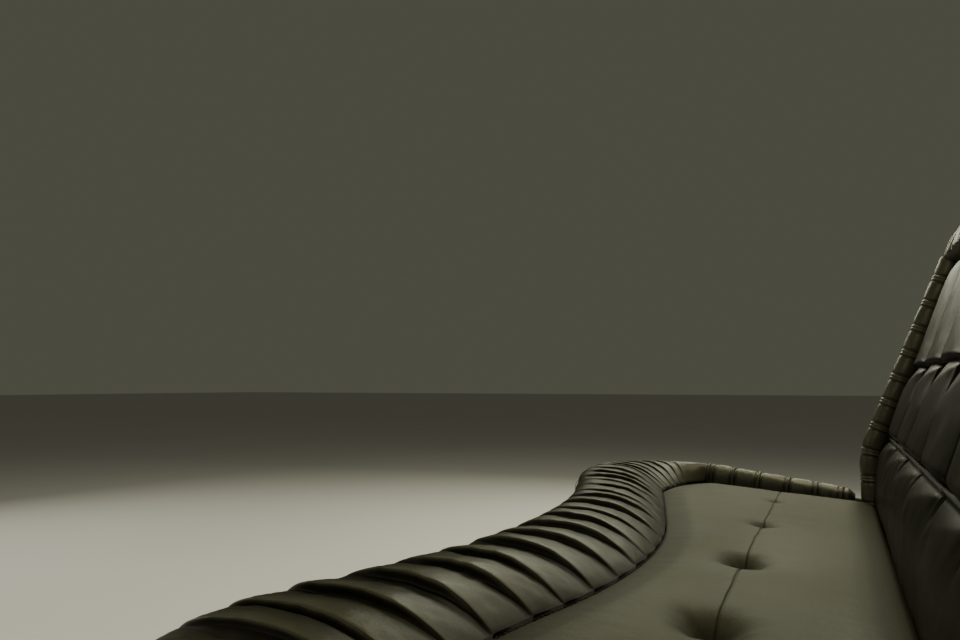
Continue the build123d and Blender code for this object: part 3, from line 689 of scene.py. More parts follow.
def makePanel():
    edgePoints = np.vstack([lines["innerFront"], lines["innerCorner"]])
    edgePoints = np.vstack([edgePoints, edgePoints * (-1, 1)])
    reach = half - seat["rollWidth"] - panel["gap"]
    stations = np.linspace(-reach, reach, int(2 * reach / panel["step"]))
    order = np.argsort(edgePoints[:, 0])
    front = np.interp(stations, edgePoints[order, 0], edgePoints[order, 1]) + panel["gap"]

    # rows are closest at the front seam and at the button line
    even = np.linspace(0, 1, panel["frontRows"])
    shares = np.where(even < 0.5, 0.5 * (2 * even) ** 1.3, 1 - 0.5 * (2 - 2 * even) ** 1.5)
    rear = np.linspace(0, 1, panel["rearRows"])[1:] ** 1.4
    lower = front[:, None] + (panel["buttonLine"] - front)[:, None] * shares[None, :]
    rearLine = np.full_like(front, seat["rear"] - panel["rearGap"])
    upper = panel["buttonLine"] + (rearLine - panel["buttonLine"])[:, None] * rear[None, :]
    y = np.hstack([lower, upper])
    x = np.broadcast_to(stations[:, None], y.shape)
    near = edgePoints[::6]
    toFront = np.sqrt(np.min((x[..., None] - near[:, 0]) ** 2 + (y[..., None] - near[:, 1]) ** 2, -1))
    rise, cavity = panelRise(x, y, toFront)
    under = np.full(len(stations), -seat["under"])
    sides = [onSeat(stations, y[:, column], under)[:, None] for column in (-1, 0)]
    # lighter away from the front seam, in random patches
    rub = smoothStep(toFront / 0.06) * (1 - cavity) * (0.5 + 0.5 * softNoise(x / 0.2, y / 0.1, 77))
    rings = np.concatenate([onSeat(x, y, rise), *sides], 1)
    piece = sweptMesh("seatPanel", rings, marked(cavity, np.clip(rub, 0, 1)))
    dress(piece, panelLeather, ["seat_panel"])


makePanel()
print("stage: seat panel made")

# End rolls of the seat, with pin tucks
endRoll = {
    "crest": 0.0345, "tail": 0.018, "fullness": 0.72, "rear": 0.087, "round": 0.014, "start": -0.010,
    "tucks": (0.004, 0.0115, 0.052, 0.100, 0.155, 0.203, 0.249),
    "tuckRise": 0.0024, "tuckWidth": 0.0016, "slant": 0.004, "strength": (0.8, 1.15),
    "dent": 0.0016, "dentWidth": 0.0045, "dentGap": 0.0048, "puff": 0.0012,
    "wrinkle": 0.0008, "fineWrinkle": 0.0004, "clearance": 0.0015, "step": 0.0011, "around": 34, "seed": 21,
}


def makeEndRoll(side, name):
    chance = np.random.default_rng(endRoll["seed"] + (side > 0))
    length = (endRoll["rear"] - endRoll["tail"] * sin(tilt)) / cos(tilt) - seat["rollStart"]
    places = np.arange(endRoll["start"], length, endRoll["step"])
    place = places[:, None]
    angle = np.linspace(0, pi, endRoll["around"])[None, :]
    across = (1 - np.cos(angle)) / 2
    inner = half - seat["rollWidth"]
    axis = (half + inner) / 2
    offset = np.zeros((len(places), angle.shape[1]))
    cavity = np.zeros_like(offset)
    tucks = np.array(endRoll["tucks"])
    for number, tuck in enumerate(tucks):
        slant = chance.uniform(-endRoll["slant"], endRoll["slant"])
        distance = place - tuck - slant * (across - 0.5) - 0.0006 * softNoise(across * 4, number, 4)
        ridge = endRoll["tuckRise"] * bell(distance, endRoll["tuckWidth"])
        offset += ridge * chance.uniform(*endRoll["strength"])
        for gap in (-1, 1):
            offset -= endRoll["dent"] * bell(distance - gap * endRoll["dentGap"], endRoll["dentWidth"] / 2)
        cavity = np.maximum(cavity, 0.8 * bell(np.abs(distance) - 0.0042, 0.0018))
    between = np.interp(place, tucks, np.arange(len(tucks)))
    offset += endRoll["puff"] * np.sin(pi * (between % 1))
    offset += endRoll["wrinkle"] * softNoise(place / 0.02, across * 5, endRoll["seed"]) + (
        endRoll["fineWrinkle"] * softNoise(place / 0.007, across * 9, 8))
    crest = endRoll["crest"] + (endRoll["tail"] - endRoll["crest"]) * np.clip(place / length, 0, 1)
    ends = np.minimum(
        smoothStep((length - place) / endRoll["round"] + 0.02),
        smoothStep((place - endRoll["start"]) / 0.008) * 0.2 + 0.8)
    body = np.maximum(np.sin(angle), 0) ** endRoll["fullness"]
    rise = (crest * body + offset * np.sin(angle)) * (0.55 + 0.45 * ends)
    width = seat["rollWidth"] - endRoll["clearance"] + 2 * offset * np.abs(np.cos(angle))
    wide = (across - 0.5) * width * (0.75 + 0.25 * ends)
    top = onSeat(side * (axis + wide), seat["rollStart"] + place + 0 * wide, rise)
    under = np.full(len(places), -seat["under"])
    bottom = [
        onSeat(side * (axis + wide[:, column]), seat["rollStart"] + places, under)[:, None] for column in (-1, 0)]
    # painted shade beside each tuck, along the seams and at both ends; painted highlight on the tucks
    seamNear = bell(across * seat["rollWidth"], 0.004) + bell((1 - across) * seat["rollWidth"], 0.004)
    cavity = np.clip(cavity + seamNear + bell(length - place, 0.012) + bell(place + 0.008, 0.006), 0, 1)
    rub = np.clip(sum(bell(place - tuck, 0.0014) for tuck in tucks), 0, 1) * np.sin(angle)
    return sweptMesh(name, np.concatenate([top, *bottom], 1), marked(cavity, rub))


for side, name in ((-1, "seatEndRollFar"), (1, "seatEndRollNear")):
    dress(makeEndRoll(side, name), endRollLeather, ["seat_end_rolls"])
print("stage: end rolls made")

# Leather boxing round the foam base, tucked under the deck
boxing = {
    "swell": 0.0080, "step": 0.007, "rows": 22, "rearY": 0.118, "topGap": 0.001, "deckDrop": 0.0135,
    "wrinkle": 0.0011, "fineWrinkle": 0.0006, "gather": 0.0008, "gatherPitch": 0.012,
    "seamDent": 0.0035, "footDent": 0.009, "seed": 61,
    # inset and height over the deck's top, round the deck's edge to its underside and back
    "turned": ((0.040, -0.0134), (0.040, -0.0124), (0.0138, -0.0124), (0.0138, 0.0004), (0.030, 0.0004)),
    "lip": ((0.030, 0.026), (0.006, 0.004)),     # inset, and drop below the outer seam
}


def outerLoop():
    # outer seam of the whole seat in plan, from the far rear round the front to the near rear
    left = np.vstack([
        lines["outerFront"], lines["outerCorner"][1:],
        np.array([[-half, y] for y in np.linspace(seat["rollStart"], boxing["rearY"], 60)[1:]])])
    loop = np.vstack([left[::-1], (left * (-1, 1))[1:]])
    return evenly(loop, int(lengthOf(loop) / boxing["step"]))


def outwardOf(loop):
    tangent = np.gradient(loop, axis=0)
    normal = np.stack([tangent[:, 1], -tangent[:, 0]], -1)
    return normal / np.linalg.norm(normal, axis=1)[:, None]


def makeBoxing():
    loop = outerLoop()
    outward = outwardOf(loop)
    rows = np.linspace(0, 1, boxing["rows"])[None, :]
    length = np.arange(len(loop))[:, None] * boxing["step"]
    topZ = onSeat(loop[:, 0], loop[:, 1], 0.0)[:, 2][:, None] - boxing["topGap"]
    lowZ = seat["deck"] - boxing["deckDrop"]
    z = topZ + (lowZ - topZ) * rows
    seed = boxing["seed"]
    belly = boxing["swell"] * np.sin(pi * np.clip(rows * 1.02, 0, 1)) ** 0.6
    wrinkle = boxing["wrinkle"] * softNoise(length / 0.06, rows * 3, seed)
    wrinkle = wrinkle + boxing["fineWrinkle"] * softNoise(length / 0.015, rows * 2.2, seed + 1)
    phase = 2 * pi * length / boxing["gatherPitch"] + 2 * softNoise(length / 0.03, rows, seed + 2)
    gather = boxing["gather"] * np.sin(phase) * (1 - smoothStep(rows / 0.16))
    push = belly + wrinkle * np.sin(pi * rows) + gather
    push = push - boxing["seamDent"] * bell(rows, 0.03) - boxing["footDent"] * smoothStep((rows - 0.88) / 0.12) ** 2
    place = loop[:, None] + outward[:, None] * push[..., None]
    wall = np.concatenate([place, z[..., None]], -1)
    levels = [(inset, np.full((len(loop), 1), seat["deck"] + level)) for inset, level in boxing["turned"]]
    levels += [(inset, topZ - drop) for inset, drop in boxing["lip"]]
    turned = [np.concatenate([loop - outward * inset, level], 1)[:, None] for inset, level in levels]
    # painted shade along the top seam and at the foot where the leather turns under; lighter across the middle of the
    # wall
    cavity = np.clip(bell(rows, 0.05) + bell(1 - rows, 0.06), 0, 1) * np.ones_like(z)
    rub = 0.35 * np.sin(pi * rows) * np.ones_like(z)
    piece = sweptMesh("seatBoxing", np.concatenate([wall, *turned], 1), marked(cavity, rub, len(turned)))
    dress(piece, seatLeather, ["seat_foam_base"])


makeBoxing()
print("stage: boxing made")

# Backrest: lower pad, two rows of channels
backrest = {"samples": 30, "crowding": 0.55, "dartLength": 0.090, "dart": 0.0052, "dartWidth": 0.012}
channelRows = {
    "backUpperChannels": {
        "node": "back_channels_upper", "low": back["upper"], "high": back["top"], "rows": 56,
        "groove": ((0, 0.05, 0.2, 0.85, 1), (0.005, 0.010, 0.014, 0.014, 0.010)),   # places and depths
        "fullness": 0.52, "darts": 0.0, "lowRound": 0.006, "highRound": 0.075, "dips": (0.009, 0.018),
        "facet": False, "wearHighlight": 0.5, "seed": 91},
    "backMiddleChannels": {
        "node": "back_channels_middle", "low": back["lower"], "high": back["upper"], "rows": 34,
        "groove": ((0, 0.2, 0.5, 0.8, 1), (0.008, 0.007, 0.0045, 0.007, 0.006)),
        "fullness": 0.6, "darts": 0.25, "lowRound": 0.012, "highRound": 0.040, "dips": (0.015, 0.010),
        "facet": True, "wearHighlight": 0.1, "seed": 95},
}
channelPitch = 2 * channelHalf / back["channels"]


def channelStations():
    shares = np.linspace(0, 1, backrest["samples"], endpoint=False)
    shares = (shares + 0.5 + np.sin(2 * pi * shares + pi) / (2 * pi) * backrest["crowding"]) - 0.5
    x = [-channelHalf + (number + share) * channelPitch for number in range(back["channels"]) for share in shares]
    return np.array(x + [channelHalf])


def grooveDistance(x):
    place = (x + channelHalf) / channelPitch
    return (place - np.round(place)) * channelPitch, place % 1, np.round(place)


def dartFolds(x, down, seed):
    # short folds that fan down from each sewn place; down is the distance below the sewn line
    distance, _, number = grooveDistance(x)
    folds = 0
    taper = 1 - smoothStep(down / backrest["dartLength"])
    for turn, strength, width in ((-0.55, 0.45, 0.7), (-0.15, 1.0, 1.3), (0.40, 0.4, 0.7)):
        leaning = turn + 0.12 * softNoise(number * 3.7, turn * 9, seed)
        spread = backrest["dartWidth"] * width * (0.6 + 0.9 * down / backrest["dartLength"])
        folds = folds + strength * bell(distance - leaning * down, spread)
    return -backrest["dart"] * folds * taper


def facetReach(inChannel, reach):
    # the turn back to a sewn line is long at each channel's far side and short at its near side
    return reach * (1.35 - 1.15 * inChannel)


def channelRow(name, row):
    x = channelStations()[:, None]
    even = np.linspace(0, 1, row["rows"])[None, :]
    share = (1 - np.cos(np.linspace(0, pi, row["rows"])))[None, :] / 2 * 0.55 + even * 0.45
    low, high = row["low"] + back["seamGap"], row["high"] - back["seamGap"]
    up = low + (high - low) * share
    distance, inChannel, _ = grooveDistance(x)
    number = np.floor((x + channelHalf) / channelPitch - 1e-9)
    seed, facet = row["seed"], row["facet"]
    lively = 1 + 0.12 * softNoise(number * 5.3, share * 1.3, seed)
    across = (np.clip(4 * inChannel * (1 - inChannel), 0, 1)) ** row["fullness"]

    # rounding at both sewn lines
    lowEnd = np.clip((up - low) / row["lowRound"], 0, 1)
    lowEnd = 1 - (1 - lowEnd ** 0.8) ** 2.2
    highReach = facetReach(inChannel, row["highRound"]) if facet else row["highRound"]
    highEnd = np.clip((high - up) / highReach, 0, 1)
    # where the painted highlight of the facets lies
    facetHighlight = smoothStep((1 - highEnd) * 5) * facet
    highEnd = 1 - (1 - highEnd) ** 1.25 if facet else 1 - (1 - highEnd ** 0.8) ** 2.2

    depth = np.interp(share, *row["groove"])
    lowDip, highDip = row["dips"]
    out = back["pad"] - lowDip * (1 - lowEnd) - highDip * (1 - highEnd) - depth * (1 - across) * lively
    out = out + 0.0016 * softNoise(x / 0.06, up / 0.08, seed + 1) + 0.0006 * softNoise(x / 0.02, up / 0.03, seed + 2)
    out = out + dartFolds(x, high - up, seed) * row["darts"]
    out = out - 0.0030 * bell(distance, 0.0022) * np.clip(depth / 0.012, 0, 1)
    out = np.minimum(out, back["pad"] + 0.003)
    rear = [onSlope(x[:, 0], level, back["boardGap"])[:, None] for level in (high, low)]
    # painted shade in the grooves and at the sewn lines; painted highlight on the channels' crowns and on the facets
    # under each row's upper line, a little darker towards the bottom
    cavity = np.clip(bell(distance, 0.006) * depth / 0.013 + bell(up - low, 0.004) + bell(high - up, 0.004), 0, 1)
    rub = np.clip(across * (lowEnd * highEnd), 0, 1) ** 3 * row["wearHighlight"]
    rub = np.maximum(rub * (0.6 + 0.4 * smoothStep((up - low) / 0.13)), 0.65 * facetHighlight * (1 - cavity))
    piece = sweptMesh(name, np.concatenate([onSlope(x, up, out), *rear], 1), marked(cavity, rub))
    dress(piece, backLeather, [row["node"]])


for name, row in channelRows.items():
    channelRow(name, row)

lowerPad = {
    "rows": 44, "gap": 0.0003, "foot": 0.022, "footRise": 0.03, "length": 0.16,
    # y and z of the front, up from where it leaves the seat
    "profile": ((0.1195, 0.385), (0.1265, 0.411), (0.1340, 0.430), (0.1395, 0.440)), "straightTo": 0.350,
    "smoothing": 5, "groove": 0.003, "facet": 0.006, "facetReach": 0.034, "darts": 0.3,
    "swell": 0.0022, "wrinkle": 0.0009, "seed": 71,
}


def makeLowerPad():
    x = channelStations()[:, None]
    share = np.linspace(0, 1, lowerPad["rows"])[None, :]
    footY = seat["rear"] * cos(tilt) + lowerPad["gap"]
    footZ = float(onSeat(0.0, seat["rear"], -lowerPad["foot"])[2])
    topLine = back["lower"] - back["seamGap"]
    end = onSlope(0.0, topLine, back["pad"] - back["lowerDip"])
    corner = np.array([
        [footY + 0.002, footZ], [footY, footZ + lowerPad["footRise"]], [footY, lowerPad["straightTo"]],
        *lowerPad["profile"], [end[1], end[2]]])
    spans = np.concatenate([[0], np.cumsum(np.linalg.norm(np.diff(corner, axis=0), axis=1))])
    spans /= spans[-1]
    curve = np.stack([np.interp(share[0], spans, corner[:, k]) for k in range(2)], -1)
    for _ in range(lowerPad["smoothing"]):
        curve[1:-1] = (curve[:-2] + 2 * curve[1:-1] + curve[2:]) / 4
    tangent = np.gradient(curve, axis=0)
    outward = np.stack([-tangent[:, 1], tangent[:, 0]], -1)
    outward /= np.linalg.norm(outward, axis=1)[:, None]
    distance, inChannel, _ = grooveDistance(x)
    seed, length = lowerPad["seed"], lowerPad["length"]
    down = (1 - share) * length
    facet = np.clip(1 - down / facetReach(inChannel, lowerPad["facetReach"]), 0, 1)
    push = lowerPad["swell"] * softNoise(x / 0.12, share * 2.5, seed)
    push = push + lowerPad["wrinkle"] * softNoise(x / 0.03, share * 6, seed + 1)
    push = push - lowerPad["groove"] * bell(distance, 0.012) * smoothStep((share - 0.6) / 0.4)
    push = push - lowerPad["facet"] * facet ** 1.25
    push = push + lowerPad["darts"] * dartFolds(x, down, seed + 2)
    push = push * smoothStep(share / 0.1) * (share < 1)
    points = curve[None] + outward[None] * push[..., None]
    front = np.concatenate([np.broadcast_to(x[..., None], points.shape[:2] + (1,)), points], -1)
    flatX = x[:, 0]
    rearTop = onSlope(flatX, topLine, back["boardGap"])[:, None]
    rearY = boardY + (footZ - back["kink"]) * tan(lean) - 0.002
    rearLow = np.stack([flatX, np.full_like(flatX, max(rearY, footY + 0.004)), np.full_like(flatX, footZ)], -1)
    # painted shade at the top seam and at the foot; painted highlight on the facets and faintly across the middle
    cavity = np.clip(bell(down, 0.004) + bell(share * length, 0.014), 0, 1) * np.ones(points.shape[:2])
    rub = np.maximum(0.1 * np.sin(pi * share) ** 2, 0.20 * smoothStep(facet * 5)) * (1 - cavity)
    rings = np.concatenate([front, rearTop, rearLow[:, None]], 1)
    piece = sweptMesh("backLowerPad", rings, marked(cavity, rub))
    dress(piece, backLeather, ["back_pad_lower"])


makeLowerPad()
print("stage: backrest pads made")

# Ruched roll along the top of the backrest
topRoll = {
    "height": 0.076, "front": 0.050, "fullness": 0.8, "step": 0.0045, "around": 46,
    "foldPitch": 0.055, "spread": 0.35, "fold": 0.0085, "foldWidth": 0.0045, "slant": 0.02,
    "strength": (0.5, 1.1), "foldMiddle": (0.2, 0.8), "fine": 0.0007, "finePitch": 0.019, "wrinkle": 0.0012,
    "endTaper": 0.045, "endSize": 0.30, "endSteps": 12, "tuckUnder": 0.010, "seed": 33,
}


def makeTopRoll():
    chance = np.random.default_rng(topRoll["seed"])
    x = np.linspace(-half, half, int(2 * half / topRoll["step"]))
    rounding = half - topRoll["endTaper"] * (1 - np.cos(np.linspace(0, pi / 2, topRoll["endSteps"])))
    x = np.sort(np.concatenate([x[np.abs(x) < rounding[-1] - 0.002], rounding, -rounding]))[:, None]
    angle = np.linspace(-pi / 2, pi, topRoll["around"])[None, :]
    inset = np.clip((half - np.abs(x)) / topRoll["endTaper"], 0, 1)
    ends = np.sqrt(1 - (1 - inset) ** 2)
    size = topRoll["endSize"] + (1 - topRoll["endSize"]) * ends
    folds, place = 0, -half
    while place < half:
        width = topRoll["foldPitch"] * chance.uniform(1 - topRoll["spread"], 1 + topRoll["spread"])
        slant = chance.uniform(-topRoll["slant"], topRoll["slant"])
        strength, middle = chance.uniform(*topRoll["strength"]), chance.uniform(*topRoll["foldMiddle"])
        distance = x - place - slant * (angle / pi - 0.5) - 0.006 * softNoise(angle * 2, place * 40, 5)
        reach = 0.35 + 0.65 * bell(angle / pi - middle, 0.35)
        beside = 0.45 * bell(distance - 0.010, 0.012)
        folds = folds + strength * reach * (bell(distance, topRoll["foldWidth"]) + beside)
        place += width
    fine = np.sin(2 * pi * x / topRoll["finePitch"] + 2.5 * softNoise(x / 0.05, angle, 34))
    nearSeams = 1 - smoothStep(np.minimum(angle, pi - angle) / 0.8)
    sink = topRoll["fold"] * folds + topRoll["fine"] * fine * nearSeams * 0.6
    sink = sink + topRoll["wrinkle"] * softNoise(x / 0.02, angle * 3, 35)
    front, rear = topRoll["front"] * size, -back["board"]
    reachOut = (front + rear) / 2 + np.cos(angle) * (front - rear) / 2 - sink * np.cos(angle) * (angle < pi / 2)
    body = np.maximum(np.sin(angle), 0) ** topRoll["fullness"]
    rise = (topRoll["height"] * size - sink) * body + topRoll["tuckUnder"] * np.minimum(np.sin(angle), 0)
    skin = onSlope(x, back["top"] + back["seamGap"] + rise, reachOut)
    # painted shade in the folds and near the seams; painted highlight on the top between the folds
    cavity = np.clip(folds * 0.75 + 0.5 * nearSeams, 0, 1) * np.ones(skin.shape[:2])
    rub = np.clip(1 - folds, 0, 1) ** 2 * np.sin(angle) ** 2 * 0.6 * np.ones(skin.shape[:2])
    piece = sweptMesh("backTopBolster", skin, {"cavity": cavity, "rub": rub})
    dress(piece, rollLeather, ["back_top_bolster"])


makeTopRoll()
print("stage: top roll made")

# Geometry Nodes, for parts that follow a rule and for repeats
def newNodes(name, inputs):
    tree = bpy.data.node_groups.new(name, "GeometryNodeTree")
    tree.interface.new_socket("Geometry", in_out="INPUT", socket_type="NodeSocketGeometry")
    sockets = {}
    for label, kind, value in inputs:
        socket = tree.interface.new_socket(label, in_out="INPUT", socket_type=kind)
        if value is not None:
            socket.default_value = value
        sockets[label] = socket.identifier
    tree.interface.new_socket("Geometry", in_out="OUTPUT", socket_type="NodeSocketGeometry")
    return tree, tree.nodes.new("NodeGroupInput").outputs, tree.nodes.new("NodeGroupOutput").inputs, sockets


def valueInputs(values):
    # an input for each value: a whole number for counts and seeds, else a plain one
    return [(label, "NodeSocketInt" if isinstance(value, int) else "NodeSocketFloat", value)
            for label, value in values.items()]


def add(tree, kind, *links, **settings):
    # a node with its settings and its inputs by name, each from a socket or a value
    node = tree.nodes.new(kind)
    for label, value in settings.items():
        setattr(node, label, value)
    for label, value in links:
        socket = node.inputs[label]
        if isinstance(value, bpy.types.NodeSocket):
            tree.links.new(value, socket)
        else:
            socket.default_value = value
    return node


def made(tree, kind, *links, **settings):
    return add(tree, kind, *links, **settings).outputs[0]


def chanceBetween(tree, low, high, seed):
    chance = add(tree, "FunctionNodeRandomValue", data_type="FLOAT")
    for socket, value in ((chance.inputs[2], low), (chance.inputs[3], high), (chance.inputs["Seed"], seed)):
        tree.links.new(value, socket)
    return chance.outputs[1]


def combine(tree, x, y, z):
    return made(tree, "ShaderNodeCombineXYZ", ("X", x), ("Y", y), ("Z", z))


def finished(tree, geometry, given, result, smooth=True):
    real = made(tree, "GeometryNodeRealizeInstances", ("Geometry", geometry))
    real = made(tree, "GeometryNodeSetShadeSmooth", ("Geometry", real), ("Shade Smooth", smooth))
    real = made(tree, "GeometryNodeSetMaterial", ("Geometry", real), ("Material", given["Material"]))
    tree.links.new(real, result["Geometry"])


def baked(name, chains, build, values, marks=None):
    # runs a node tree on chains of points and keeps what it makes as a plain mesh
    tree, sockets = build
    points = np.vstack(chains)
    edges, start = [], 0
    for chain in chains:
        edges += [(start + k, start + k + 1) for k in range(len(chain) - 1)]
        start += len(chain)
    mesh = bpy.data.meshes.new(name + "Source")
    mesh.from_pydata(points.tolist(), edges, [])
    for mark, rows in (marks or {}).items():
        layer = mesh.attributes.new(mark, "FLOAT_VECTOR", "POINT")
        layer.data.foreach_set("vector", np.ascontiguousarray(np.vstack(rows), dtype=np.float32).ravel())
    source = bpy.data.objects.new(name + "Source", mesh)
    bpy.context.scene.collection.objects.link(source)
    modifier = source.modifiers.new("build", "NODES")
    modifier.node_group = tree
    for label, value in values.items():
        modifier[sockets[label]] = value
    graph = bpy.context.evaluated_depsgraph_get()
    done = bpy.data.meshes.new_from_object(source.evaluated_get(graph), depsgraph=graph)
    done.name = name
    piece = bpy.data.objects.new(name, done)
    bpy.context.scene.collection.objects.link(piece)
    source.modifiers.remove(modifier)
    bpy.data.objects.remove(source)
    return piece


def place3(points):
    return np.asarray(points, dtype=float).reshape(-1, 3)


# Rolls that run up both ends of the backrest
edgeRoll = {
    "Radius": 0.0190, "Tuck pitch": 0.049, "First tuck": 0.014, "Tuck rise": 0.0012, "Tuck width": 0.0013,
    "Pair gap": 0.0026, "Dent": 0.0011, "Dent width": 0.004, "Puff": 0.0011, "Wrinkle": 0.0011,
    "Step": 0.0012, "Sides": 40,
}
rollSkin = {"turns": 20.5, "dentShift": 3.2, "stretch": (1.0, 1.0, 0.55), "noise": 42.0, "push": 3.0}
rollPath = {"foot": 0.302, "line": 0.1155, "lean": 22.6, "slope": 0.386, "bend": 0.14, "inward": 0.005, "points": 260}


def rollTree():
    tree, given, result, sockets = newNodes("edgeRoll", valueInputs(edgeRoll) + [
        ("Seed", "NodeSocketFloat", 3.0), ("Material", "NodeSocketMaterial", None)])
    pitch = given["Tuck pitch"]

    def product(first, second):
        return math(tree, "MULTIPLY", first, second)

    def hump(distance, width):
        ratio = math(tree, "DIVIDE", distance, width)
        return math(tree, "EXPONENT", product(product(ratio, ratio), -1.0))

    curve = made(tree, "GeometryNodeMeshToCurve", ("Mesh", given["Geometry"]))
    curve = made(tree, "GeometryNodeResampleCurve", ("Curve", curve), ("Length", given["Step"]), mode="LENGTH")
    curve = made(tree, "GeometryNodeSetCurveNormal", ("Curve", curve), mode="MINIMUM_TWIST")

    # pairs of raised tucks with a dent on both sides, and the leather puffed between them
    length = add(tree, "GeometryNodeSplineParameter").outputs["Length"]
    start = math(tree, "ADD", math(tree, "SUBTRACT", length, given["First tuck"]), product(pitch, rollSkin["turns"]))
    away = math(tree, "SUBTRACT", math(tree, "MODULO", start, pitch), product(pitch, 0.5))
    away = math(tree, "ABSOLUTE", away)
    ridge = hump(math(tree, "SUBTRACT", away, given["Pair gap"]), given["Tuck width"])
    dentPlace = math(tree, "ADD", given["Pair gap"], product(given["Tuck width"], rollSkin["dentShift"]))
    dent = hump(math(tree, "SUBTRACT", away, dentPlace), product(given["Dent width"], 0.5))
    belly = math(tree, "SINE", product(math(tree, "DIVIDE", away, pitch), pi))
    size = math(tree, "MULTIPLY_ADD", ridge, given["Tuck rise"], given["Radius"])
    size = math(tree, "SUBTRACT", size, product(dent, given["Dent"]))
    size = math(tree, "MULTIPLY_ADD", belly, given["Puff"], size)
    scaled = math(tree, "DIVIDE", size, given["Radius"])
    curve = made(tree, "GeometryNodeSetCurveRadius", ("Curve", curve), ("Radius", scaled))
    # painted shade in the dents and painted highlight on the tucks
    for mark, value in (("cavity", dent), ("rub", ridge)):
        curve = made(tree, "GeometryNodeStoreNamedAttribute", ("Geometry", curve), ("Name", mark),
                     ("Value", value), domain="POINT", data_type="FLOAT")
    ring = made(tree, "GeometryNodeCurvePrimitiveCircle", ("Resolution", given["Sides"]), ("Radius", given["Radius"]))
    radius = made(tree, "GeometryNodeInputRadius")
    skin = made(tree, "GeometryNodeCurveToMesh", ("Curve", curve), ("Profile Curve", ring), ("Fill Caps", True),
                ("Scale", radius))

    # wrinkles that run along the roll
    where = made(tree, "GeometryNodeInputPosition")
    where = add(tree, "ShaderNodeVectorMath", ("Vector", where), operation="MULTIPLY")
    where.inputs[1].default_value = rollSkin["stretch"]
    noise = made(tree, "ShaderNodeTexNoise", ("Vector", where.outputs[0]), ("W", given["Seed"]),
                 ("Scale", rollSkin["noise"]), ("Detail", 3.0), noise_dimensions="4D")
    push = product(math(tree, "SUBTRACT", noise, 0.5), product(given["Wrinkle"], rollSkin["push"]))
    normal = made(tree, "GeometryNodeInputNormal")
    offset = made(tree, "ShaderNodeVectorMath", ("Vector", normal), ("Scale", push), operation="SCALE")
    skin = made(tree, "GeometryNodeSetPosition", ("Geometry", skin), ("Offset", offset))
    finished(tree, skin, given, result)
    return tree, sockets


def rollLine(x):
    # upright from the seat, a bend, then up the slope
    leaning = radians(rollPath["lean"])
    turn = rollPath["bend"] * tan(leaning / 2)
    low = np.array([rollPath["line"], rollPath["foot"]])
    centre = np.array([rollPath["line"] + rollPath["bend"], back["kink"] - turn])
    angles = pi - np.linspace(0, leaning, 14)
    bend = centre + rollPath["bend"] * np.stack([np.cos(angles), np.sin(angles)], -1)
    end = low + (rollPath["slope"] * sin(leaning), back["kink"] - rollPath["foot"] + rollPath["slope"] * cos(leaning))
    flat = evenly(np.vstack([low[None], bend, end[None]]), rollPath["points"])
    return np.hstack([np.full((len(flat), 1), x), flat])


edgeRollBuild = rollTree()
for side, name in ((-1, "backEdgeRollFar"), (1, "backEdgeRollNear")):
    centreX = side * (half - back["rollWidth"] / 2 - rollPath["inward"])
    roll = baked(name, [rollLine(centreX)], edgeRollBuild, {**edgeRoll, "Seed": 3.0 + side, "Material": rollLeather})
    dress(roll, rollLeather, ["back_edge_rolls"])
print("stage: edge rolls made")

# Leather that closes the ends of the backrest behind the edge rolls
endBoxing = {
    "rows": 60, "across": 26, "swell": 0.004, "wrinkle": 0.0014, "inset": 0.0045, "margin": 0.0005,
    "behindRoll": 0.012, "narrowest": 0.006, "seed": 51}


def makeEndBoxing(side, name, node):
    low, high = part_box(node)
    margin = endBoxing["margin"]
    outer, inner = (low.x, high.x) if side < 0 else (high.x, low.x)
    up = np.linspace(low.z + margin, high.z - margin, endBoxing["rows"])
    rollLean = tan(radians(rollPath["lean"]))
    front = rollPath["line"] + endBoxing["behindRoll"] + np.maximum(0, up - back["kink"]) * rollLean
    rear = boardY + back["board"] + (up - back["kink"]) * tan(lean) - back["boardGap"]
    rear = np.minimum(np.maximum(rear, front + endBoxing["narrowest"]), high.y - margin)
    share = np.linspace(0, 1, endBoxing["across"])
    y = front[:, None] + (rear - front)[:, None] * share
    puff = endBoxing["swell"] * np.sin(pi * share[None, :]) ** 0.5 * np.ones_like(y)
    wrinkle = endBoxing["wrinkle"] * softNoise(up[:, None] / 0.05, y / 0.03, endBoxing["seed"])
    puff = puff + wrinkle * np.sin(pi * share)[None, :]
    x = outer - side * (endBoxing["inset"] - puff)
    skin = np.stack([x, y, np.broadcast_to(up[:, None], y.shape)], -1)
    sides = [np.stack([np.full_like(up, inner), edge, up], -1)[:, None] for edge in (rear, front)]
    # painted shade along both edges, against the roll and the board; lighter in between
    cavity = np.clip(bell(share, 0.10) + bell(1 - share, 0.10), 0, 1)[None, :] * np.ones_like(y)
    piece = sweptMesh(name, np.concatenate([skin, *sides], 1), marked(cavity, 0.3 * (1 - cavity)))
    dress(piece, backLeather, [node])


makeEndBoxing(-1, "backBoxingFar", "back_boxing_far")
makeEndBoxing(1, "backBoxingNear", "back_boxing_near")
print("stage: end boxings made")

# Covered buttons in the dimples
button = {"Radius": 0.0098, "Height": 0.0042, "Rings": 12, "Segments": 28}
buttonSeat = {"sunk": 0.93, "lift": 0.004}       # share of the dimple's depth, and height over it


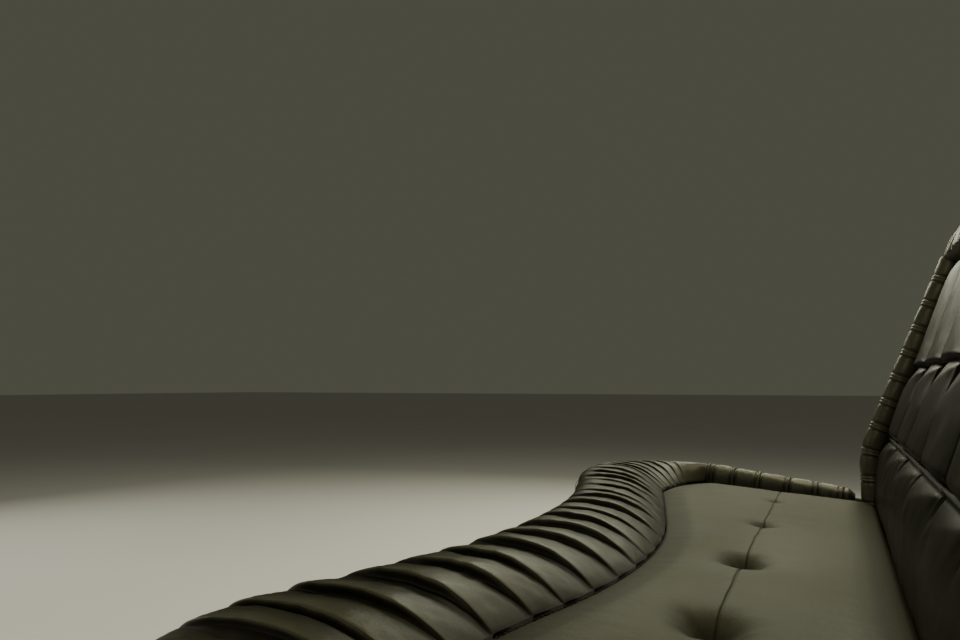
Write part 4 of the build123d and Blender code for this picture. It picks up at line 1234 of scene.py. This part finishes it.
def buttonTree():
    tree, given, result, sockets = newNodes("coveredButton", valueInputs(button) + [
        ("Tilt", "NodeSocketVector", None), ("Material", "NodeSocketMaterial", None)])
    ball = made(tree, "GeometryNodeMeshUVSphere", ("Segments", given["Segments"]), ("Rings", given["Rings"]),
                ("Radius", 1.0))
    size = combine(tree, given["Radius"], given["Radius"], given["Height"])
    ball = made(tree, "GeometryNodeTransform", ("Geometry", ball), ("Scale", size), ("Rotation", given["Tilt"]))
    points = made(tree, "GeometryNodeMeshToPoints", ("Mesh", given["Geometry"]))
    finished(tree, made(tree, "GeometryNodeInstanceOnPoints", ("Points", points), ("Instance", ball)), given, result)
    return tree, sockets


def makeButtons():
    places = [
        onSeat(x, y, -deep * buttonSeat["sunk"] + buttonSeat["lift"]) for x, y, deep, _ in buttonPlaces()]
    piece = baked("seatButtons", [place3(place) for place in places], buttonTree(), {
        **button, "Tilt": (-tilt, 0.0, 0.0), "Material": seatLeather})
    dress(piece, seatLeather, ["seat_buttons"])


makeButtons()
print("stage: buttons made")

# Sewn lines, as rows of single stitches
threadLooks = {
    "darkThread": {"base": (0.006, 0.0056, 0.004), "light": (0.014, 0.013, 0.010), "rough": 0.7},
    "paleThread": {"base": (0.080, 0.076, 0.056), "light": (0.150, 0.144, 0.110), "rough": 0.6}}
stitch = {"Pitch": 0.0062, "Length": 0.0046, "Thickness": 0.00055, "Spread": 0.18, "Seed": 7}
seams = {
    "innerIn": 0.0022, "innerDrop": 0.0022, "outerOut": 0.0046, "outerDrop": 0.0050, "backEnds": 0.004,
    "backStand": 0.0006, "backPoints": 900, "inner": 0.0005, "outer": 0.0008, "back": 0.0006,
    "twist": 900.0, "bump": 0.5, "bumpDepth": 0.0002, "specular": 0.2}


def threadMaterial(name):
    thread = threadLooks[name]
    material, tree, shader, place = newMaterial(name)
    twist = tree.nodes.new("ShaderNodeTexWave")
    twist.inputs["Scale"].default_value = seams["twist"]
    twist.bands_direction = "DIAGONAL"
    tree.links.new(place, twist.inputs["Vector"])
    base = mixColour(tree, twist.outputs["Fac"], thread["base"], thread["light"])
    tree.links.new(base, shader.inputs["Base Color"])
    bumpOn(tree, shader, twist.outputs["Fac"], seams["bump"], seams["bumpDepth"])
    shader.inputs["Roughness"].default_value = thread["rough"]
    shader.inputs["Specular IOR Level"].default_value = seams["specular"]
    return material


darkThread, paleThread = (threadMaterial(name) for name in threadLooks)


def stitchTree():
    tree, given, result, sockets = newNodes("stitchRow", valueInputs(stitch) + [
        ("Material", "NodeSocketMaterial", None)])
    curve = made(tree, "GeometryNodeMeshToCurve", ("Mesh", given["Geometry"]))
    spots = add(tree, "GeometryNodeCurveToPoints", ("Curve", curve), ("Length", given["Pitch"]), mode="LENGTH")
    one = made(tree, "GeometryNodeMeshUVSphere", ("Segments", 6), ("Rings", 5), ("Radius", 1.0))
    size = combine(tree, given["Thickness"], given["Thickness"], math(tree, "MULTIPLY", given["Length"], 0.5))
    one = made(tree, "GeometryNodeTransform", ("Geometry", one), ("Scale", size))
    low, high = (math(tree, operation, 1.0, given["Spread"]) for operation in ("SUBTRACT", "ADD"))
    placed = made(tree, "GeometryNodeInstanceOnPoints", ("Points", spots.outputs["Points"]), ("Instance", one),
                  ("Rotation", spots.outputs["Rotation"]), ("Scale", chanceBetween(tree, low, high, given["Seed"])))
    finished(tree, placed, given, result)
    return tree, sockets


stitchBuild = stitchTree()


def sew(name, chains, thread, **changes):
    values = {**stitch, **changes, "Material": thread}
    piece = baked(name, [place3(chain) for chain in chains], stitchBuild, values)
    return dress(piece, thread)


def seatSeams():
    inner = np.vstack([lines["innerFront"], lines["innerCorner"][1:]])
    outer = np.vstack([lines["outerFront"], lines["outerCorner"][1:]])
    outer = outer - outwardOf(outer) * seams["outerOut"]
    return (
        [onSeat(-side * inner[:, 0], inner[:, 1] + seams["innerIn"], -seams["innerDrop"]) for side in (-1, 1)],
        [onSeat(-side * outer[:, 0], outer[:, 1], -seams["outerDrop"]) for side in (-1, 1)])


innerSeam, outerSeam = seatSeams()
sew("seatInnerStitches", innerSeam, darkThread, Thickness=seams["inner"])
sew("seatOuterStitches", outerSeam, paleThread, Thickness=seams["outer"])
rowX = np.linspace(-channelHalf + seams["backEnds"], channelHalf - seams["backEnds"], seams["backPoints"])
lineOut = back["pad"] - back["dip"] + seams["backStand"]
sew("backSeamStitches", [onSlope(rowX, back["upper"], lineOut)], darkThread, Thickness=seams["back"])
print("stage: stitches made")

# Structure that the upholstery hides: carpet, plywood and steel
carpetLook = {
    "dark": (0.006, 0.006, 0.006), "light": (0.020, 0.019, 0.018), "dust": (0.05, 0.047, 0.042), "tuft": 520.0,
    "rough": 0.95, "bump": 0.9, "bumpDepth": 0.0016, "sheen": 0.35}
woodLook = {
    "early": (0.42, 0.29, 0.165), "late": (0.27, 0.165, 0.085), "layers": 0.0016, "grain": (6.0, 90.0, 60.0),
    "rough": 0.62, "bump": 0.25, "bumpDepth": 0.0004}
steelLook = {
    "base": (0.42, 0.43, 0.45), "dull": (0.26, 0.27, 0.28), "rough": 0.36, "roughSpread": 0.25, "scale": 60.0}


def carpetMaterial():
    look = carpetLook
    material, tree, shader, place = newMaterial("carpet")
    tufts = tree.nodes.new("ShaderNodeTexVoronoi")
    tufts.inputs["Scale"].default_value = look["tuft"]
    tree.links.new(place, tufts.inputs["Vector"])
    patches = noiseNode(tree, place, 7.0, 4.0, 0.6)
    speck = noiseNode(tree, place, 240.0, 2.0)
    base = mixColour(tree, speck, look["dark"], look["light"])
    worn = rampNode(tree, patches, [(0.52, (0, 0, 0)), (0.80, (0.5, 0.5, 0.5))])
    base = mixColour(tree, worn, base, look["dust"])
    tree.links.new(base, shader.inputs["Base Color"])
    height = math(tree, "SUBTRACT", 1.0, tufts.outputs["Distance"])
    bumpOn(tree, shader, height, look["bump"], look["bumpDepth"])
    shader.inputs["Roughness"].default_value = look["rough"]
    shader.inputs["Specular IOR Level"].default_value = 0.15
    shader.inputs["Sheen Weight"].default_value = look["sheen"]
    shader.inputs["Sheen Roughness"].default_value = 0.6
    return material


def plywoodMaterial(name, layerAxis):
    # long grain on the faces and layers across the sheet's thickness on the edges
    look = woodLook
    material, tree, shader, place = newMaterial(name)
    grain = noiseNode(tree, scaledPlace(tree, place, look["grain"]), 1.0, 5.0, 0.62)
    rings = noiseNode(tree, scaledPlace(tree, place, (1.5, 14.0, 9.0)), 1.0, 2.0)
    both = math(tree, "ADD", math(tree, "MULTIPLY", grain, 0.6), math(tree, "MULTIPLY", rings, 0.4))
    face = mixColour(tree, rampNode(tree, both, [(0.40, (0, 0, 0)), (0.62, (1, 1, 1))]), look["late"], look["early"])
    parts = tree.nodes.new("ShaderNodeSeparateXYZ")
    tree.links.new(place, parts.inputs[0])
    normal = tree.nodes.new("ShaderNodeSeparateXYZ")
    tree.links.new(tree.nodes.new("ShaderNodeTexCoord").outputs["Normal"], normal.inputs[0])
    onFace = math(tree, "GREATER_THAN", math(tree, "ABSOLUTE", normal.outputs[layerAxis]), 0.7)
    across = math(tree, "DIVIDE", parts.outputs[layerAxis], look["layers"])
    layer = math(tree, "GREATER_THAN", math(tree, "FRACT", math(tree, "MULTIPLY", across, 0.5)), 0.5)
    edge = mixColour(tree, layer, look["late"], look["early"])
    edge = mixColour(tree, math(tree, "MULTIPLY", grain, 0.5), edge, look["late"])
    tree.links.new(mixColour(tree, onFace, edge, face), shader.inputs["Base Color"])
    bumpOn(tree, shader, grain, look["bump"], look["bumpDepth"])
    tree.links.new(math(tree, "MULTIPLY_ADD", grain, 0.15, look["rough"] - 0.08), shader.inputs["Roughness"])
    return material


def steelMaterial():
    look = steelLook
    material, tree, shader, place = newMaterial("zincSteel")
    spangle = tree.nodes.new("ShaderNodeTexVoronoi")
    spangle.inputs["Scale"].default_value = look["scale"] * 3
    tree.links.new(place, spangle.inputs["Vector"])
    cloud = noiseNode(tree, place, look["scale"], 3.0)
    mask = math(tree, "MULTIPLY_ADD", spangle.outputs["Distance"], 0.5, math(tree, "MULTIPLY", cloud, 0.5))
    tree.links.new(mixColour(tree, mask, look["base"], look["dull"]), shader.inputs["Base Color"])
    rough = math(tree, "MULTIPLY_ADD", mask, look["roughSpread"], look["rough"] - 0.08)
    tree.links.new(rough, shader.inputs["Roughness"])
    shader.inputs["Metallic"].default_value = 1.0
    return material


carpet, steel = carpetMaterial(), steelMaterial()
plywood = [plywoodMaterial(f"plywood{axis}", index) for index, axis in enumerate("XYZ")]
kinds = (
    ("riser_", carpet), ("floor_bracket_", steel), ("base_rib_", plywood[0]), ("back_gusset_", plywood[0]),
    ("rear_rail", plywood[1]), ("back_top_rail", plywood[1]), ("seat_deck", plywood[2]), ("back_cap", plywood[2]),
    ("back_board", plywood[1]))
for nodeName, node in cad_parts.items():
    for start, material in kinds:
        if nodeName.startswith(start):
            node.data.materials.clear()
            node.data.materials.append(material)
print("stage: structure dressed")

# Fasteners: staples, screws and hexagon bolts with washers
staple = {"Width": 0.0105, "Wire": 0.0011, "Spin": 0.22}
screw = {"Radius": 0.0042, "Height": 0.0016, "Spin": 3.1}
hexBolt = {"Across": 0.0088, "Height": 0.0058, "Washer": 0.0105, "Washer height": 0.0016, "Spin": 3.1}
fastenSeed = 5


def facingTree(name, values, makeOne):
    # instances whose Z looks along the points' "facing", each turned a little by chance
    tree, given, result, sockets = newNodes(name, valueInputs(values) + [
        ("Seed", "NodeSocketInt", fastenSeed), ("Material", "NodeSocketMaterial", None)])
    points = made(tree, "GeometryNodeMeshToPoints", ("Mesh", given["Geometry"]))
    facing = made(tree, "GeometryNodeInputNamedAttribute", ("Name", "facing"), data_type="FLOAT_VECTOR")
    turned = made(tree, "FunctionNodeAlignRotationToVector", ("Vector", facing), axis="Z")
    placed = made(tree, "GeometryNodeInstanceOnPoints", ("Points", points), ("Instance", makeOne(tree, given)),
                  ("Rotation", turned))
    spin = chanceBetween(tree, math(tree, "MULTIPLY", given["Spin"], -1.0), given["Spin"], given["Seed"])
    placed = made(tree, "GeometryNodeRotateInstances", ("Instances", placed),
                  ("Rotation", combine(tree, 0.0, 0.0, spin)))
    finished(tree, placed, given, result, False)
    return tree, sockets


def oneStaple(tree, given):
    size = combine(tree, given["Width"], given["Wire"], given["Wire"])
    return made(tree, "GeometryNodeMeshCube", ("Size", size))


def oneScrew(tree, given):
    dome = made(tree, "GeometryNodeMeshUVSphere", ("Segments", 18), ("Rings", 10), ("Radius", 1.0))
    size = combine(tree, given["Radius"], given["Radius"], given["Height"])
    return made(tree, "GeometryNodeTransform", ("Geometry", dome), ("Scale", size))


def oneBolt(tree, given):
    washerHeight = given["Washer height"]
    lift = math(tree, "ADD", washerHeight, math(tree, "MULTIPLY", given["Height"], 0.5))
    low = math(tree, "MULTIPLY", washerHeight, 0.5)
    both = tree.nodes.new("GeometryNodeJoinGeometry")
    for sides, radius, depth, middle in (
            (28, given["Washer"], washerHeight, low), (6, given["Across"], given["Height"], lift)):
        solid = made(tree, "GeometryNodeMeshCylinder", ("Vertices", sides), ("Radius", radius), ("Depth", depth))
        place = combine(tree, 0.0, 0.0, middle)
        solid = made(tree, "GeometryNodeTransform", ("Geometry", solid), ("Translation", place))
        tree.links.new(solid, both.inputs[0])
    return both.outputs[0]


stapleBuild = facingTree("staple", staple, oneStaple)
screwBuild = facingTree("screw", screw, oneScrew)
boltBuild = facingTree("hexBolt", hexBolt, oneBolt)


def fasten(name, build, values, spots, facing):
    spots = place3(spots)
    facings = np.broadcast_to(np.asarray(facing, dtype=float), spots.shape)
    piece = baked(name, [spots[k:k + 1] for k in range(len(spots))], build,
                  {**values, "Seed": fastenSeed, "Material": steel}, {"facing": [facings]})
    return dress(piece, steel)


# Leather turned over the board's rear at both ends, and stapled
turnOver = {
    "width": 0.036, "ragged": 0.003, "from": -0.165, "to": 0.292, "thickness": 0.0012, "ripple": 0.0006,
    "standOff": 0.0002, "rows": 60, "across": 12, "pitch": 0.024, "stapleLine": 0.62, "stapleStand": 0.0026,
    "seed": 17}


def makeTurnOver(side, name):
    up = np.linspace(turnOver["from"], turnOver["to"], turnOver["rows"])[:, None]
    share = np.linspace(0, 1, turnOver["across"])[None, :]
    ragged = turnOver["ragged"] * softNoise(up / 0.03, 0.5, turnOver["seed"] + side)
    x = side * (channelHalf - back["seamGap"] - share * (turnOver["width"] + ragged))
    ripple = turnOver["ripple"] * (1 + softNoise(up / 0.02, share * 3, turnOver["seed"]))
    lift = turnOver["thickness"] + ripple * (share < 0.97)
    skin = onSlope(x, up, -back["board"] - lift)
    under = onSlope(x[:, ::-1], up, -back["board"] - turnOver["standOff"])
    rings = np.concatenate([skin, under], 1)
    size = rings.shape[:2]
    piece = sweptMesh(name, rings, {"cavity": np.full(size, 0.2), "rub": np.full(size, 0.1)})
    dress(piece, backLeather)
    places = np.arange(turnOver["from"] + 0.012, turnOver["to"] - 0.006, turnOver["pitch"])
    stapleX = side * (channelHalf - turnOver["width"] * turnOver["stapleLine"])
    return [onSlope(stapleX, place, -back["board"] - turnOver["stapleStand"]) for place in places]


rearSpots = makeTurnOver(-1, "backTurnOverFar") + makeTurnOver(1, "backTurnOverNear")
fasten("backStaples", stapleBuild, staple, rearSpots, (0.0, cos(lean), -sin(lean)))

# places of the other fasteners; the bolts stand in the solids' bolt holes
places = {
    "stapleCount": 150, "stapleSkip": 4, "stapleInset": 0.030, "stapleDrop": 0.0138,
    "ribHeights": (0.04, 0.115, 0.19), "railInset": 0.015, "bays": 4,
    "floorX": 0.8155, "floorY": 0.2, "floorZ": 0.004, "wallX": 0.72, "wallZ": 0.72513,
}
underLoop = evenly(outerLoop(), places["stapleCount"])[places["stapleSkip"]:-places["stapleSkip"]]
underLine = underLoop - outwardOf(underLoop) * places["stapleInset"]
underSpots = np.hstack([underLine, np.full((len(underLine), 1), seat["deck"] - places["stapleDrop"])])
fasten("seatStaples", stapleBuild, staple, underSpots, (0.0, 0.0, -1.0))
screwSpots = []
for number in range(1, places["bays"] + 1):
    low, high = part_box(f"base_rib_{number}")
    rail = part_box("rear_rail")[1].y
    screwSpots += [((low.x + high.x) / 2, rail, z) for z in places["ribHeights"]]
    low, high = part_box(f"back_gusset_{number}")
    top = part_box("back_top_rail")
    levels = (top[0].z + places["railInset"], top[1].z - places["railInset"])
    screwSpots += [((low.x + high.x) / 2, top[1].y, z) for z in levels]
fasten("railScrews", screwBuild, screw, screwSpots, (0.0, 1.0, 0.0))
boltSpots = [
    (side * places["floorX"], end * places["floorY"], places["floorZ"]) for side in (-1, 1) for end in (-1, 1)]
fasten("floorBolts", boltBuild, hexBolt, boltSpots, (0.0, 0.0, 1.0))
wallSpots = [(side * places["wallX"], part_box("back_top_rail")[0].y, places["wallZ"]) for side in (-1, 1)]
fasten("wallBolts", boltBuild, hexBolt, wallSpots, (0.0, -1.0, 0.0))
eased = {"width": 0.0009, "segments": 2, "angle": 50}
for nodeName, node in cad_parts.items():
    if nodeName.startswith(("base_rib_", "back_gusset_", "rear_rail", "back_cap", "seat_deck", "back_board")):
        bevel = node.modifiers.new("eased", "BEVEL")
        bevel.width, bevel.segments = eased["width"], eased["segments"]
        bevel.angle_limit = radians(eased["angle"])
print("stage: fasteners made")

# Floor and light
stage = {"floor": (0.60, 0.59, 0.57), "world": (0.56, 0.56, 0.42), "worldStrength": 0.14, "floorSize": 40.0}
lamps = (
    ("overhead", (-1.7, 0.25, 2.3), (-0.9, 0.0, 0.35), (1.5, 0.8), 40.0, (1.0, 0.98, 0.74)),
    ("farEnd", (-3.0, -0.4, 1.60), (-0.6, -0.10, 0.50), (2.0, 0.7), 29.0, (1.0, 1.0, 0.76)),
    ("nearFill", (1.6, -0.9, 1.9), (-0.9, -0.05, 0.35), (1.3, 1.1), 32.0, (1.0, 0.98, 0.80)),
    ("front", (-0.4, -3.2, 1.3), (0.0, -0.2, 0.3), (2.4, 1.2), 22.0, (1.0, 0.98, 0.82)),
)


def makeStage():
    size = stage["floorSize"]
    corners = [(-size, -size, 0), (size, -size, 0), (size, size, 0), (-size, size, 0)]
    floor = addMesh("floor", corners, [(0, 1, 2, 3)], False)
    material, tree, shader, place = newMaterial("paleFloor")
    clouds = noiseNode(tree, place, 1.2, 3.0)
    base = rampNode(tree, clouds, [(0.3, tuple(0.96 * c for c in stage["floor"])), (0.7, stage["floor"])])
    tree.links.new(base, shader.inputs["Base Color"])
    shader.inputs["Roughness"].default_value = 0.85
    floor.data.materials.append(material)
    world = bpy.data.worlds.new("studio")
    world.use_nodes = True
    background = world.node_tree.nodes["Background"]
    background.inputs["Color"].default_value = (*stage["world"], 1)
    background.inputs["Strength"].default_value = stage["worldStrength"]
    bpy.context.scene.world = world


def aimedAt(place, target):
    away = np.subtract(target, place)
    return (atan2(hypot(away[0], away[1]), -away[2]), 0.0, atan2(away[1], away[0]) - pi / 2)


def makeLamps():
    for name, place, target, size, power, colour in lamps:
        data = bpy.data.lights.new(name, "AREA")
        data.shape = "RECTANGLE"
        data.size, data.size_y = size
        data.energy = power
        data.color = colour
        lamp = bpy.data.objects.new(name, data)
        lamp.location = place
        lamp.rotation_euler = aimedAt(place, target)
        bpy.context.scene.collection.objects.link(lamp)


makeStage()
makeLamps()
print("stage: floor and light made")

bpy.context.view_layer.update()
